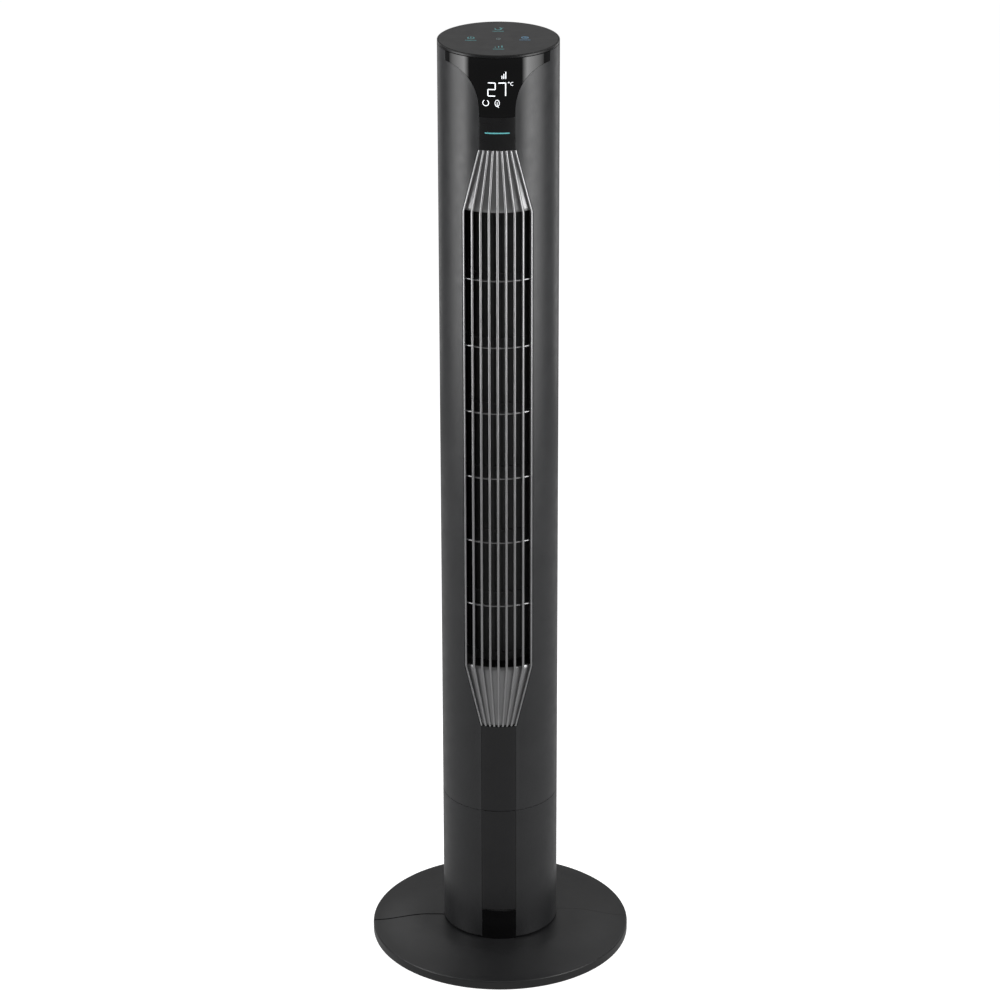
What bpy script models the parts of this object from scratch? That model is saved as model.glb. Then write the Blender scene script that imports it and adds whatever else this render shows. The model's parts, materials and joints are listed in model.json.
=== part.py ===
"""Tower fan, 1.07 m tall: a round two-part base, a fixed column and a tower that oscillates on it.

Frame: metres, +Z up, origin on the floor under the tower's axis, front towards -Y.
Angles round the body are measured from the front, positive towards +X.
"""
import math

import bmesh
import bpy
from mathutils import Matrix, Vector

MM = 0.001

# Driving dimensions.
TOTAL_HEIGHT = 1068 * MM
BASE_RADIUS = 147 * MM
BODY_RADIUS = 65 * MM
WALL = 2.7 * MM
SEAM_Z = 184 * MM
GAP = 0.3 * MM

# Body wall: an outer skin that the flush front pieces replace, and an inner skin behind them.
BODY_INNER = BODY_RADIUS - WALL
SKIN_OUTER = BODY_RADIUS - 1.4 * MM
INLAY_INNER = SKIN_OUTER + GAP
LIP_OUTER = BODY_INNER - GAP
LIP_INNER = LIP_OUTER - 1.6 * MM
# Flat faces between the corners of a round wall come this much closer to its axis.
FACET_ROOM = 0.5 * MM
PLATE_EDGE = LIP_INNER - GAP - FACET_ROOM

# Base.
BASE_CROWN = 19.3 * MM
BASE_SHOULDER = 11 * MM
BASE_CROWN_RADIUS = 84 * MM
BASE_SHOULDER_RADIUS = 142 * MM
BASE_SKIN = 2.5 * MM
BASE_UNDERSIDE = 3.3 * MM
BASE_RIM_BOTTOM = 0.8 * MM
BASE_HOLE = 22 * MM
BASE_SEAM_OFFSET = 8 * MM
PAD_INNER = 122 * MM
PAD_OUTER = 131 * MM

# Column.
COLUMN_BOTTOM = 21.5 * MM
COLUMN_TOP = SEAM_Z - GAP
FOOT_RADIUS = BODY_INNER - GAP - FACET_ROOM
FOOT_BOTTOM = BASE_CROWN + GAP
WINDOW_TOP = 57 * MM
STRIP_HALF_WIDTH = 19.5 * MM
INLET_Z = 42 * MM

# Tower.
TOWER_BOTTOM = SEAM_Z + GAP
SHELL_TOP = TOTAL_HEIGHT - 3 * MM
GRILLE_BOTTOM = 290.5 * MM
GRILLE_TOP = 964.5 * MM
GRILLE_TAPER = 70.5 * MM
GRILLE_OPEN_BOTTOM = GRILLE_BOTTOM + GRILLE_TAPER
GRILLE_OPEN_TOP = GRILLE_TOP - GRILLE_TAPER
RIB_COUNT = 9
RIB_PITCH = 9.1 * MM
RIB_PITCH_END = 4.78 * MM
RIB_WIDTH = 2.6 * MM
RIB_WIDTH_END = 2.3 * MM
CROSS_RIB_COUNT = 6
CROSS_RIB_HEIGHT = 1.7 * MM
PANEL_ANGLE = 17
LENS_BOTTOM = 1001 * MM
LENS_BAND_BOTTOM = SHELL_TOP - 11 * MM
LENS_BAND_ANGLE = 58
LENS_ROWS = 7

# The tower's two shells meet at the sides, where the front one has a lip behind the rear one.
SHELL_EDGE_ANGLE = 90 - math.degrees(GAP / 2 / BODY_RADIUS)
LIP_START_ANGLE = 84
LIP_END_ANGLE = 102

# Intake grille at the back.
INTAKE_BOTTOM = 330 * MM
INTAKE_TOP = 925 * MM
INTAKE_HALF_ANGLE = 50
INTAKE_SLOT = 5.2 * MM
INTAKE_SLOTS = 30

# Impeller, on its own axis behind the middle of the body.
IMPELLER_Y = 4 * MM
IMPELLER_RADIUS = 42 * MM
IMPELLER_BOTTOM = 368 * MM
IMPELLER_TOP = 893 * MM
IMPELLER_SEGMENTS = 5
BLADE_COUNT = 18
BLADE_DEPTH = 8 * MM
SHAFT_RADIUS = 4 * MM
BEARING_BORE = SHAFT_RADIUS + 0.2 * MM
MOTOR_PLATE_Z = 345 * MM
BEARING_PLATE_Z = 905 * MM
PLATE_THICKNESS = 3 * MM
AIR_WALL = 1.8 * MM
LEAD_X = -53 * MM
BOARD_THICKNESS = 1.6 * MM

# Motor.
STATOR_BOTTOM = 285 * MM
STATOR_TOP = 321 * MM
STATOR_RADIUS = 38 * MM
STATOR_BORE = 26.5 * MM
CAP_HEIGHT = 14 * MM

# Oscillation drive.
FIXED_TEETH = 30
PINION_TEETH = 12
GEAR_MODULE = 1.5 * MM
PINION_DISTANCE = GEAR_MODULE * (FIXED_TEETH + PINION_TEETH) / 2
PINION_SHAFT_RADIUS = 2.4 * MM
TURN_PLATE_TOP = SEAM_Z - 4.5 * MM
TOWER_FLOOR_Z = SEAM_Z + 1 * MM
FLOOR_THICKNESS = 3.5 * MM
GEAR_BOTTOM = TURN_PLATE_TOP + GAP
GEAR_TOP = TOWER_FLOOR_Z - 2 * GAP
PIVOT_OUTER = 14.7 * MM
PIVOT_INNER = 11.5 * MM

# How many sides the round pieces have.
PLATE_SIDES = 32
ROUND_SIDES = 20
SHAFT_SIDES = 16
HOLE_SIDES = 10
SCREW_SIDES = 8


# ---------------------------------------------------------------- scene and materials

def clear_scene():
    for old in list(bpy.data.objects):
        bpy.data.objects.remove(old, do_unlink=True)


def make_material(name, colour, roughness, metallic=0.0):
    material = bpy.data.materials.new(name)
    material.use_nodes = True
    shader = material.node_tree.nodes["Principled BSDF"]
    shader.inputs["Base Color"].default_value = (*colour, 1.0)
    shader.inputs["Roughness"].default_value = roughness
    shader.inputs["Metallic"].default_value = metallic
    material.diffuse_color = (*colour, 1.0)
    return material


def make_materials():
    """One material for each finish; names match what each finish is."""
    return {
        "body_plastic": make_material("body_plastic", (0.050, 0.051, 0.054), 0.38),
        "base_plastic": make_material("base_plastic", (0.034, 0.035, 0.037), 0.45),
        "strip_plastic": make_material("strip_plastic", (0.022, 0.022, 0.024), 0.42),
        "gloss_black": make_material("gloss_black", (0.004, 0.004, 0.005), 0.06),
        "satin_black": make_material("satin_black", (0.010, 0.010, 0.011), 0.32),
        "touch_panel": make_material("touch_panel", (0.058, 0.059, 0.062), 0.40),
        "silver_grille": make_material("silver_grille", (0.30, 0.30, 0.31), 0.30, 0.85),
        "inner_plastic": make_material("inner_plastic", (0.020, 0.020, 0.021), 0.55),
        "rubber": make_material("rubber", (0.012, 0.012, 0.012), 0.80),
        "steel": make_material("steel", (0.46, 0.46, 0.47), 0.30, 1.0),
        "laminations": make_material("laminations", (0.24, 0.24, 0.25), 0.45, 0.9),
        "bronze": make_material("bronze", (0.42, 0.26, 0.12), 0.35, 1.0),
        "acetal": make_material("acetal", (0.70, 0.69, 0.66), 0.35),
        "circuit_board": make_material("circuit_board", (0.015, 0.115, 0.045), 0.45),
        "display_white": make_material("display_white", (0.62, 0.62, 0.62), 0.40),
        "cable": make_material("cable", (0.015, 0.015, 0.016), 0.50),
    }


# ---------------------------------------------------------------- mesh helpers

def add_object(name, mesh, material, sharp_angle=32, parent=None):
    """Put a mesh in the scene as one named piece, smooth where its faces bend gently."""
    piece = bpy.data.objects.new(name, mesh)
    bpy.context.scene.collection.objects.link(piece)
    mesh.materials.append(material)
    mesh.shade_smooth()
    mesh.set_sharp_from_angle(angle=math.radians(sharp_angle))
    piece.parent = parent
    return piece


def finish_mesh(name, builder):
    """Turn a bmesh into a mesh whose faces point out."""
    bmesh.ops.recalc_face_normals(builder, faces=builder.faces)
    mesh = bpy.data.meshes.new(name)
    builder.to_mesh(mesh)
    builder.free()
    return mesh


def split_bent_faces(builder):
    """Split the four-sided faces that aren't flat along their shorter diagonal, so that
    pieces lying on each other bend alike."""
    bent = []
    for face in builder.faces:
        if len(face.verts) != 4:
            continue
        corner = face.verts[0].co
        sides = [vert.co - corner for vert in face.verts[1:]]
        normal = sides[0].cross(sides[1]).normalized()
        if abs(normal.dot(sides[2])) > 0.01 * MM:
            bent.append(face)
    bmesh.ops.triangulate(builder, faces=bent, quad_method="SHORT_EDGE")


def lattice_mesh(name, cells, filled, place, ring=False):
    """A closed solid from a grid of cells: filled(i, j, k) says which cells are solid,
    place(i, j, k) gives a grid corner. With ring, the first direction closes on itself."""
    count_i, count_j, count_k = cells
    builder = bmesh.new()
    corners = {}

    def is_filled(i, j, k):
        if ring:
            i %= count_i
        inside = 0 <= i < count_i and 0 <= j < count_j and 0 <= k < count_k
        return inside and filled(i, j, k)

    def corner(i, j, k):
        key = (i % count_i if ring else i, j, k)
        if key not in corners:
            corners[key] = builder.verts.new(place(*key))
        return corners[key]

    steps = [(1, 0, 0), (-1, 0, 0), (0, 1, 0), (0, -1, 0), (0, 0, 1), (0, 0, -1)]
    loop = [(0, 0), (1, 0), (1, 1), (0, 1)]
    for i in range(count_i):
        for j in range(count_j):
            for k in range(count_k):
                if not is_filled(i, j, k):
                    continue
                for step in steps:
                    if is_filled(i + step[0], j + step[1], k + step[2]):
                        continue
                    axis = [abs(part) for part in step].index(1)
                    side = max(step[axis], 0)
                    across = [other for other in range(3) if other != axis]
                    face = []
                    for first, second in loop:
                        index = [i, j, k]
                        index[axis] += side
                        index[across[0]] += first
                        index[across[1]] += second
                        face.append(corner(*index))
                    builder.faces.new(face)
    split_bent_faces(builder)
    return finish_mesh(name, builder)


def around(angle, radius, z):
    """A point at an angle from the front, in degrees, at a radius from the tower's axis."""
    turn = math.radians(angle)
    return Vector((radius * math.sin(turn), -radius * math.cos(turn), z))


def turned_mesh(name, profile, segments=PLATE_SIDES):
    """A solid of revolution about Z; the profile is a closed loop of (radius, z) points."""
    builder = bmesh.new()
    rings = []
    for radius, z in profile:
        if radius == 0:
            rings.append([builder.verts.new((0, 0, z))] * segments)
            continue
        turns = [2 * math.pi * index / segments for index in range(segments)]
        rings.append([builder.verts.new((radius * math.cos(a), radius * math.sin(a), z)) for a in turns])
    for index, ring in enumerate(rings):
        following = rings[(index + 1) % len(rings)]
        for step in range(segments):
            after = (step + 1) % segments
            loop = [ring[step], ring[after], following[after], following[step]]
            unique = list(dict.fromkeys(loop))
            if len(unique) > 2:
                builder.faces.new(unique)
    return finish_mesh(name, builder)


def ring_profile(inner, outer, bottom, top):
    """The section of a plain ring, or of a disc or a rod where inner is 0."""
    return [(inner, bottom), (outer, bottom), (outer, top), (inner, top)]


def extruded_mesh(name, outline, bottom, top):
    """A prism: a flat outline of (x, y) points between two heights."""
    builder = bmesh.new()
    lower = [builder.verts.new((x, y, bottom)) for x, y in outline]
    upper = [builder.verts.new((x, y, top)) for x, y in outline]
    builder.faces.new(lower)
    builder.faces.new(upper)
    for index in range(len(outline)):
        after = (index + 1) % len(outline)
        builder.faces.new([lower[index], lower[after], upper[after], upper[index]])
    return finish_mesh(name, builder)


def box_mesh(name, low, high):
    outline = [(low[0], low[1]), (high[0], low[1]), (high[0], high[1]), (low[0], high[1])]
    return extruded_mesh(name, outline, low[2], high[2])


def thick_outline(points, thickness):
    """The closed outline of a bent sheet that follows a line of (x, y) points."""
    left = []
    right = []
    for index, point in enumerate(points):
        before = points[max(index - 1, 0)]
        after = points[min(index + 1, len(points) - 1)]
        along = Vector((after[0] - before[0], after[1] - before[1])).normalized()
        across = Vector((-along.y, along.x)) * thickness / 2
        left.append((point[0] + across.x, point[1] + across.y))
        right.append((point[0] - across.x, point[1] - across.y))
    return left + right[::-1]


def spread(start, stop, count):
    """count + 1 evenly spaced values from start to stop."""
    return [start + (stop - start) * index / count for index in range(count + 1)]


def cut_holes(piece, cutter_meshes):
    """Cut closed, separate shapes out of a piece with one Boolean."""
    builder = bmesh.new()
    for mesh in cutter_meshes:
        builder.from_mesh(mesh)
    joined = finish_mesh(piece.name + "_cutter", builder)
    cutter = bpy.data.objects.new(piece.name + "_cutter", joined)
    bpy.context.scene.collection.objects.link(cutter)
    cutter.hide_render = True
    cutter.display_type = "WIRE"
    modifier = piece.modifiers.new("holes", "BOOLEAN")
    modifier.operation = "DIFFERENCE"
    modifier.solver = "EXACT"
    modifier.object = cutter


def smooth_path(points, steps):
    """Points along a Catmull-Rom curve through the given ones."""
    padded = [points[0]] + points + [points[-1]]
    path = []
    for index in range(1, len(padded) - 2):
        p0, p1, p2, p3 = (Vector(point) for point in padded[index - 1:index + 3])
        for step in range(steps):
            t = step / steps
            bend = 2 * p0 - 5 * p1 + 4 * p2 - p3
            twist = 3 * p1 - p0 - 3 * p2 + p3
            path.append(0.5 * (2 * p1 + (p2 - p0) * t + bend * t * t + twist * t ** 3))
    path.append(Vector(points[-1]))
    return path


def add_cable(name, points, radius, material):
    """A round cable through the points, closed at both ends."""
    curve = bpy.data.curves.new(name, "CURVE")
    curve.dimensions = "3D"
    curve.bevel_depth = radius
    curve.bevel_resolution = 1
    curve.use_fill_caps = True
    path = smooth_path(points, 3)
    spline = curve.splines.new("POLY")
    spline.points.add(len(path) - 1)
    for point, place in zip(spline.points, path):
        point.co = (*place, 1)
    curve.materials.append(material)
    cable = bpy.data.objects.new(name, curve)
    bpy.context.scene.collection.objects.link(cable)
    return cable


# ---------------------------------------------------------------- base

def base_top(radius):
    """Height of the base's upper face: flat under the column, then an S-shaped fall to the rim."""
    share = (radius - BASE_CROWN_RADIUS) / (BASE_SHOULDER_RADIUS - BASE_CROWN_RADIUS)
    share = min(max(share, 0), 1)
    eased = share * share * (3 - 2 * share)
    return BASE_CROWN + (BASE_SHOULDER - BASE_CROWN) * eased


def base_half_mesh(name):
    """The front half. Its edge lies behind the axis on the right and ahead of it on the left,
    so the same half, turned round, closes the circle."""
    ring_inner = 56 * MM
    ring_outer = 60 * MM
    slope_middle = 103 * MM
    rim_inner = 141 * MM
    rim_shoulder = 143.5 * MM
    rim_top = 7.2 * MM
    radii = [BASE_HOLE, ring_inner, ring_outer, BASE_CROWN_RADIUS, slope_middle]
    radii += [PAD_INNER, PAD_OUTER, rim_inner, rim_shoulder, BASE_RADIUS]
    solid_rings = [radii.index(inner) for inner in (ring_inner, PAD_INNER, rim_inner, rim_shoulder)]
    rib_start = 0.28
    rib_width = 0.008
    rib_starts = [rib_start, 1 - rib_start - rib_width]
    shares = spread(0, 1, 16)
    for start in rib_starts:
        shares += [start, start + rib_width]
    shares.sort()
    rib_columns = [shares.index(start) for start in rib_starts]

    def filled(i, j, k):
        return k == 1 or j in solid_rings or (i in rib_columns and j >= 1)

    def place(i, j, k):
        radius = radii[j]
        right = math.degrees(math.asin((BASE_SEAM_OFFSET - GAP / 2) / radius)) + 90
        left = -90 + math.degrees(math.asin((BASE_SEAM_OFFSET + GAP / 2) / radius))
        angle = left + (right - left) * shares[i]
        is_outermost = j == len(radii) - 1
        top = rim_top if is_outermost else base_top(radius)
        bottom = BASE_RIM_BOTTOM if radius >= rim_inner else BASE_UNDERSIDE
        heights = [bottom, top - BASE_SKIN, top]
        return around(angle, radius, heights[k])

    return lattice_mesh(name, (len(shares) - 1, len(radii) - 1, 2), filled, place)


def base_screw_places():
    half = 30 * MM
    return [(half, half), (-half, half), (-half, -half), (half, -half)]


def screw_mesh(name, head_radius, head_height, shank_radius, length):
    """A pan-head screw along +Z from the bottom of its head at z = 0."""
    profile = [(0, 0), (head_radius * 0.8, 0), (head_radius, head_height * 0.35)]
    profile += [(head_radius, head_height), (shank_radius, head_height), (shank_radius, length), (0, length)]
    return turned_mesh(name, profile, SCREW_SIDES)


def hole_mesh(radius, bottom, top, x, y):
    mesh = turned_mesh("hole", ring_profile(0, radius, bottom, top), HOLE_SIDES)
    mesh.transform(Matrix.Translation((x, y, 0)))
    return mesh


def build_base(materials):
    front = add_object("base_front_half", base_half_mesh("base_front_half"), materials["base_plastic"])
    rear = add_object("base_rear_half", base_half_mesh("base_rear_half"), materials["base_plastic"])
    rear.rotation_euler.z = math.pi
    hole_radius = 2.3 * MM
    for half, side in ((front, -1), (rear, 1)):
        places = [(x, y) for x, y in base_screw_places() if y * side > 0]
        top = BASE_CROWN + 5 * MM
        cut_holes(half, [hole_mesh(hole_radius, BASE_UNDERSIDE, top, x, y) for x, y in places])

    head_height = 2.6 * MM
    head_bottom = BASE_CROWN - BASE_SKIN - GAP - head_height
    for number, (x, y) in enumerate(base_screw_places(), 1):
        mesh = screw_mesh("base_screw", 4 * MM, head_height, 1.9 * MM, 8.6 * MM)
        screw = add_object("base_screw_%d" % number, mesh, materials["steel"])
        screw.location = (x, y, head_bottom)

    pad_span = 22
    for number, middle in enumerate((-45, 45, 135, 225), 1):
        angles = spread(middle - pad_span / 2, middle + pad_span / 2, 4)
        radii = [PAD_INNER + 0.5 * MM, PAD_OUTER - 0.5 * MM]
        heights = [0, BASE_UNDERSIDE - GAP]
        mesh = lattice_mesh(
            "foot_pad", (4, 1, 1), lambda i, j, k: True,
            lambda i, j, k, angles=angles: around(angles[i], radii[j], heights[k]))
        add_object("foot_pad_%d" % number, mesh, materials["rubber"])


# ---------------------------------------------------------------- column

def half_angle(half_width, radius=BODY_RADIUS):
    """The angle from the front at which a piece of this half width ends on the body."""
    return math.degrees(math.asin(half_width / radius))


def inlay_mesh(name, half_width, bottom, top):
    """A thin curved plate, flush with the front of the body."""
    edge = half_angle(half_width - GAP)
    angles = spread(-edge, edge, 6)
    heights = [bottom, top]
    radii = [INLAY_INNER, BODY_RADIUS]
    return lattice_mesh(
        name, (6, 1, 1), lambda i, j, k: True,
        lambda i, j, k: around(angles[i], radii[k], heights[j]))


def column_shell_mesh():
    """A tube whose outer skin is left open at the front for the window and the strip."""
    edge = half_angle(STRIP_HALF_WIDTH)
    front = spread(-edge, edge, 6)
    angles = front + spread(edge, 360 - edge, 26)[1:-1]
    heights = [COLUMN_BOTTOM, COLUMN_TOP]
    radii = [BODY_INNER, SKIN_OUTER, BODY_RADIUS]
    return lattice_mesh(
        "column_shell", (len(angles), 1, 2), lambda i, j, k: k == 0 or i >= 6,
        lambda i, j, k: around(angles[i], radii[k], heights[j]), ring=True)


def along_y(mesh, x, y, z):
    """Turn a mesh made along +Z to lie along +Y, and move it into place."""
    mesh.transform(Matrix.Translation((x, y, z)) @ Matrix.Rotation(-math.pi / 2, 4, "X"))
    return mesh


def build_foot(material):
    """The plate and skirt that carry the column, screwed to both halves of the base."""
    plate_top = FOOT_BOTTOM + 3.4 * MM
    skirt_top = 33 * MM
    skirt_inner = FOOT_RADIUS - 2.5 * MM
    cable_hole = 18 * MM
    profile = [(cable_hole, FOOT_BOTTOM), (FOOT_RADIUS, FOOT_BOTTOM), (FOOT_RADIUS, skirt_top)]
    profile += [(skirt_inner, skirt_top), (skirt_inner, plate_top), (cable_hole, plate_top)]
    foot = add_object("column_foot", turned_mesh("column_foot", profile), material)
    pilot_radius = 2.2 * MM
    holes = [hole_mesh(pilot_radius, 0, skirt_top, x, y) for x, y in base_screw_places()]
    cut_holes(foot, holes)


def build_column(materials):
    build_foot(materials["satin_black"])
    shell = add_object("column_shell", column_shell_mesh(), materials["body_plastic"])
    inlet_radius = 6.3 * MM
    near = BODY_INNER - 10 * MM
    far = BODY_RADIUS + 10 * MM
    inlet = turned_mesh("inlet", ring_profile(0, inlet_radius, near, far), SHAFT_SIDES)
    cut_holes(shell, [along_y(inlet, 0, 0, INLET_Z)])

    strip = inlay_mesh("column_strip", STRIP_HALF_WIDTH, WINDOW_TOP + GAP, COLUMN_TOP)
    add_object("column_strip", strip, materials["strip_plastic"])
    window = inlay_mesh("column_window", STRIP_HALF_WIDTH, FOOT_BOTTOM, WINDOW_TOP)
    add_object("column_window", window, materials["gloss_black"])

    bore = 3.4 * MM
    neck = inlet_radius - GAP
    inner_end = 58.5 * MM
    inner_face = 61.2 * MM
    outer_face = BODY_RADIUS + 0.6 * MM
    outer_end = BODY_RADIUS + 2.6 * MM
    grommet_profile = [(bore, inner_end), (7.4 * MM, inner_end), (7.4 * MM, inner_face), (neck, inner_face)]
    grommet_profile += [(neck, outer_face), (8.6 * MM, outer_face), (8.2 * MM, outer_end), (bore, outer_end)]
    grommet = turned_mesh("cord_grommet", grommet_profile, SHAFT_SIDES)
    add_object("cord_grommet", along_y(grommet, 0, 0, INLET_Z), materials["rubber"])

    lead = [(0, 58 * MM, INLET_Z), (0, 44 * MM, INLET_Z + 1 * MM), (0, 20 * MM, 62 * MM)]
    lead += [(0, 3 * MM, 110 * MM), (0, 0, 150 * MM), (0, 0, SEAM_Z - 6 * MM)]
    add_cable("column_lead", lead, 3 * MM, materials["cable"])


# ---------------------------------------------------------------- oscillation drive

def gear_outline(teeth, phase=0.0):
    """The outline of a spur gear with straight flanks and a little backlash."""
    tooth_share = 0.44
    pitch_radius = GEAR_MODULE * teeth / 2
    tip = pitch_radius + 0.85 * GEAR_MODULE
    root = pitch_radius - 1.15 * GEAR_MODULE
    pitch_angle = 2 * math.pi / teeth
    tip_half = pitch_angle * (tooth_share / 2) * 0.46
    root_half = pitch_angle * (tooth_share / 2) * 1.55
    outline = []
    for tooth in range(teeth):
        middle = tooth * pitch_angle + phase
        for radius, offset in ((root, -root_half), (tip, -tip_half), (tip, tip_half), (root, root_half)):
            angle = middle + offset
            outline.append((radius * math.cos(angle), radius * math.sin(angle)))
    return outline


def holed_gear_mesh(name, outline, hole_radius, bottom, top):
    """A gear with a round hole that has one corner for each tooth."""
    builder = bmesh.new()
    levels = []
    for z in (bottom, top):
        outer = [builder.verts.new((x, y, z)) for x, y in outline]
        inner = []
        for x, y in outline[::4]:
            scale = hole_radius / math.hypot(x, y)
            inner.append(builder.verts.new((x * scale, y * scale, z)))
        levels.append((outer, inner))
    for outer, inner in levels:
        for tooth in range(len(inner)):
            corners = [outer[(4 * tooth + step) % len(outer)] for step in range(5)]
            builder.faces.new(corners + [inner[(tooth + 1) % len(inner)], inner[tooth]])
    for low, high in zip(*levels):
        for index in range(len(low)):
            after = (index + 1) % len(low)
            builder.faces.new([low[index], low[after], high[after], high[index]])
    return finish_mesh(name, builder)


def build_turntable(materials):
    """What the tower turns on: a plate in the column, a gear fixed to it and a thrust ring."""
    plate_bottom = TURN_PLATE_TOP - 3.5 * MM
    skirt_bottom = plate_bottom - 14 * MM
    skirt_inner = FOOT_RADIUS - 2.5 * MM
    plate_hole = PIVOT_OUTER + GAP
    plate = [(plate_hole, plate_bottom), (skirt_inner, plate_bottom), (skirt_inner, skirt_bottom)]
    plate += [(FOOT_RADIUS, skirt_bottom), (FOOT_RADIUS, TURN_PLATE_TOP), (plate_hole, TURN_PLATE_TOP)]
    add_object("bearing_plate", turned_mesh("bearing_plate", plate), materials["inner_plastic"])

    gear_hole = plate_hole + 2 * GAP
    gear = holed_gear_mesh("fixed_gear", gear_outline(FIXED_TEETH), gear_hole, GEAR_BOTTOM, GEAR_TOP)
    add_object("fixed_gear", gear, materials["acetal"])

    thrust = ring_profile(46 * MM, 54 * MM, GEAR_BOTTOM, TOWER_FLOOR_Z - GAP)
    add_object("thrust_ring", turned_mesh("thrust_ring", thrust), materials["acetal"])

    floor_top = TOWER_FLOOR_Z + FLOOR_THICKNESS
    tube_bottom = plate_bottom - 4.5 * MM
    floor = [(PIVOT_INNER, tube_bottom), (PIVOT_OUTER, tube_bottom), (PIVOT_OUTER, TOWER_FLOOR_Z)]
    floor += [(PLATE_EDGE, TOWER_FLOOR_Z), (PLATE_EDGE, floor_top), (PIVOT_INNER, floor_top)]
    tower_floor = add_object("tower_floor", turned_mesh("tower_floor", floor), materials["inner_plastic"])
    shaft_hole = PINION_SHAFT_RADIUS + 0.8 * MM
    cut_holes(tower_floor, [hole_mesh(shaft_hole, GEAR_BOTTOM, floor_top + 5 * MM, 0, PINION_DISTANCE)])

    ring = ring_profile(PIVOT_OUTER + GAP, PIVOT_OUTER + 5 * MM, tube_bottom + 1 * MM, plate_bottom - GAP)
    add_object("pivot_ring", turned_mesh("pivot_ring", ring, ROUND_SIDES), materials["steel"])


def build_oscillation_drive(materials):
    """The small geared motor on the tower's floor, and the pinion that walks round the fixed gear."""
    bottom = TOWER_FLOOR_Z + FLOOR_THICKNESS + GAP
    top = bottom + 19 * MM
    radius = 14 * MM
    bore = PINION_SHAFT_RADIUS + 0.4 * MM
    shaft_end = bottom + 3.5 * MM
    stepper = [(bore, bottom), (radius, bottom), (radius, top), (0, top), (0, shaft_end + GAP)]
    stepper.append((bore, shaft_end + GAP))
    mesh = turned_mesh("oscillation_motor", stepper, ROUND_SIDES)
    motor = add_object("oscillation_motor", mesh, materials["steel"])
    motor.location.y = PINION_DISTANCE
    pinion = build_pinion(GEAR_BOTTOM + 0.4 * MM, GEAR_TOP, shaft_end, materials["acetal"])
    pinion.location.y = PINION_DISTANCE


def build_pinion(bottom, top, shaft_end, material):
    """The pinion with its shaft. A tooth gap of the pinion faces the fixed gear's axis
    where a tooth of the fixed gear points at the pinion, or the other way round."""
    fixed_pitch = 360 / FIXED_TEETH
    tooth_faces_pinion = (90 / fixed_pitch) % 1 == 0
    phase = math.radians(-90)
    if tooth_faces_pinion:
        phase += math.pi / PINION_TEETH
    outline = gear_outline(PINION_TEETH, phase)
    builder = bmesh.new()
    lower = [builder.verts.new((x, y, bottom)) for x, y in outline]
    upper = [builder.verts.new((x, y, top)) for x, y in outline]
    builder.faces.new(lower)
    neck = []
    end = []
    for x, y in outline:
        scale = PINION_SHAFT_RADIUS / math.hypot(x, y)
        neck.append(builder.verts.new((x * scale, y * scale, top)))
        end.append(builder.verts.new((x * scale, y * scale, shaft_end)))
    builder.faces.new(end)
    for index in range(len(outline)):
        after = (index + 1) % len(outline)
        for one, other in ((lower, upper), (upper, neck), (neck, end)):
            builder.faces.new([one[index], one[after], other[after], other[index]])
    return add_object("oscillation_pinion", finish_mesh("oscillation_pinion", builder), material)


# ---------------------------------------------------------------- body shells

def rib_spacing(z):
    """Pitch and width of the front grille's ribs: even in the middle, drawn together at both ends."""
    into_taper = max(GRILLE_OPEN_BOTTOM - z, z - GRILLE_OPEN_TOP, 0)
    share = min(into_taper / GRILLE_TAPER, 1)
    pitch = RIB_PITCH + (RIB_PITCH_END - RIB_PITCH) * share
    width = RIB_WIDTH + (RIB_WIDTH_END - RIB_WIDTH) * share
    return pitch, width


def lens_edge(z):
    """Half angle of the lens: as wide as the panel at its foot, then flaring into the band."""
    share = min(max((z - LENS_BOTTOM) / (LENS_BAND_BOTTOM - LENS_BOTTOM), 0), 1)
    flare = 1 - (1 - share ** 2.5) ** 0.43
    return PANEL_ANGLE + (LENS_BAND_ANGLE - PANEL_ANGLE) * flare


def lens_heights():
    """Heights up the lens, closer together where its edge turns outwards, then the top."""
    span = LENS_BAND_BOTTOM - LENS_BOTTOM
    heights = [LENS_BOTTOM + span * (1 - (1 - share) ** 2.2) for share in spread(0, 1, LENS_ROWS)]
    return heights + [SHELL_TOP]


def front_edge(z):
    """Half angle of everything set into the front shell, from strip to lens band."""
    if z > GRILLE_TOP + 1.5 * GAP:
        return lens_edge(z)
    if z < GRILLE_BOTTOM - 1.5 * GAP:
        return half_angle(STRIP_HALF_WIDTH)
    pitch, width = rib_spacing(z)
    return half_angle((RIB_COUNT // 2) * pitch + width / 2 + GAP)


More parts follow.
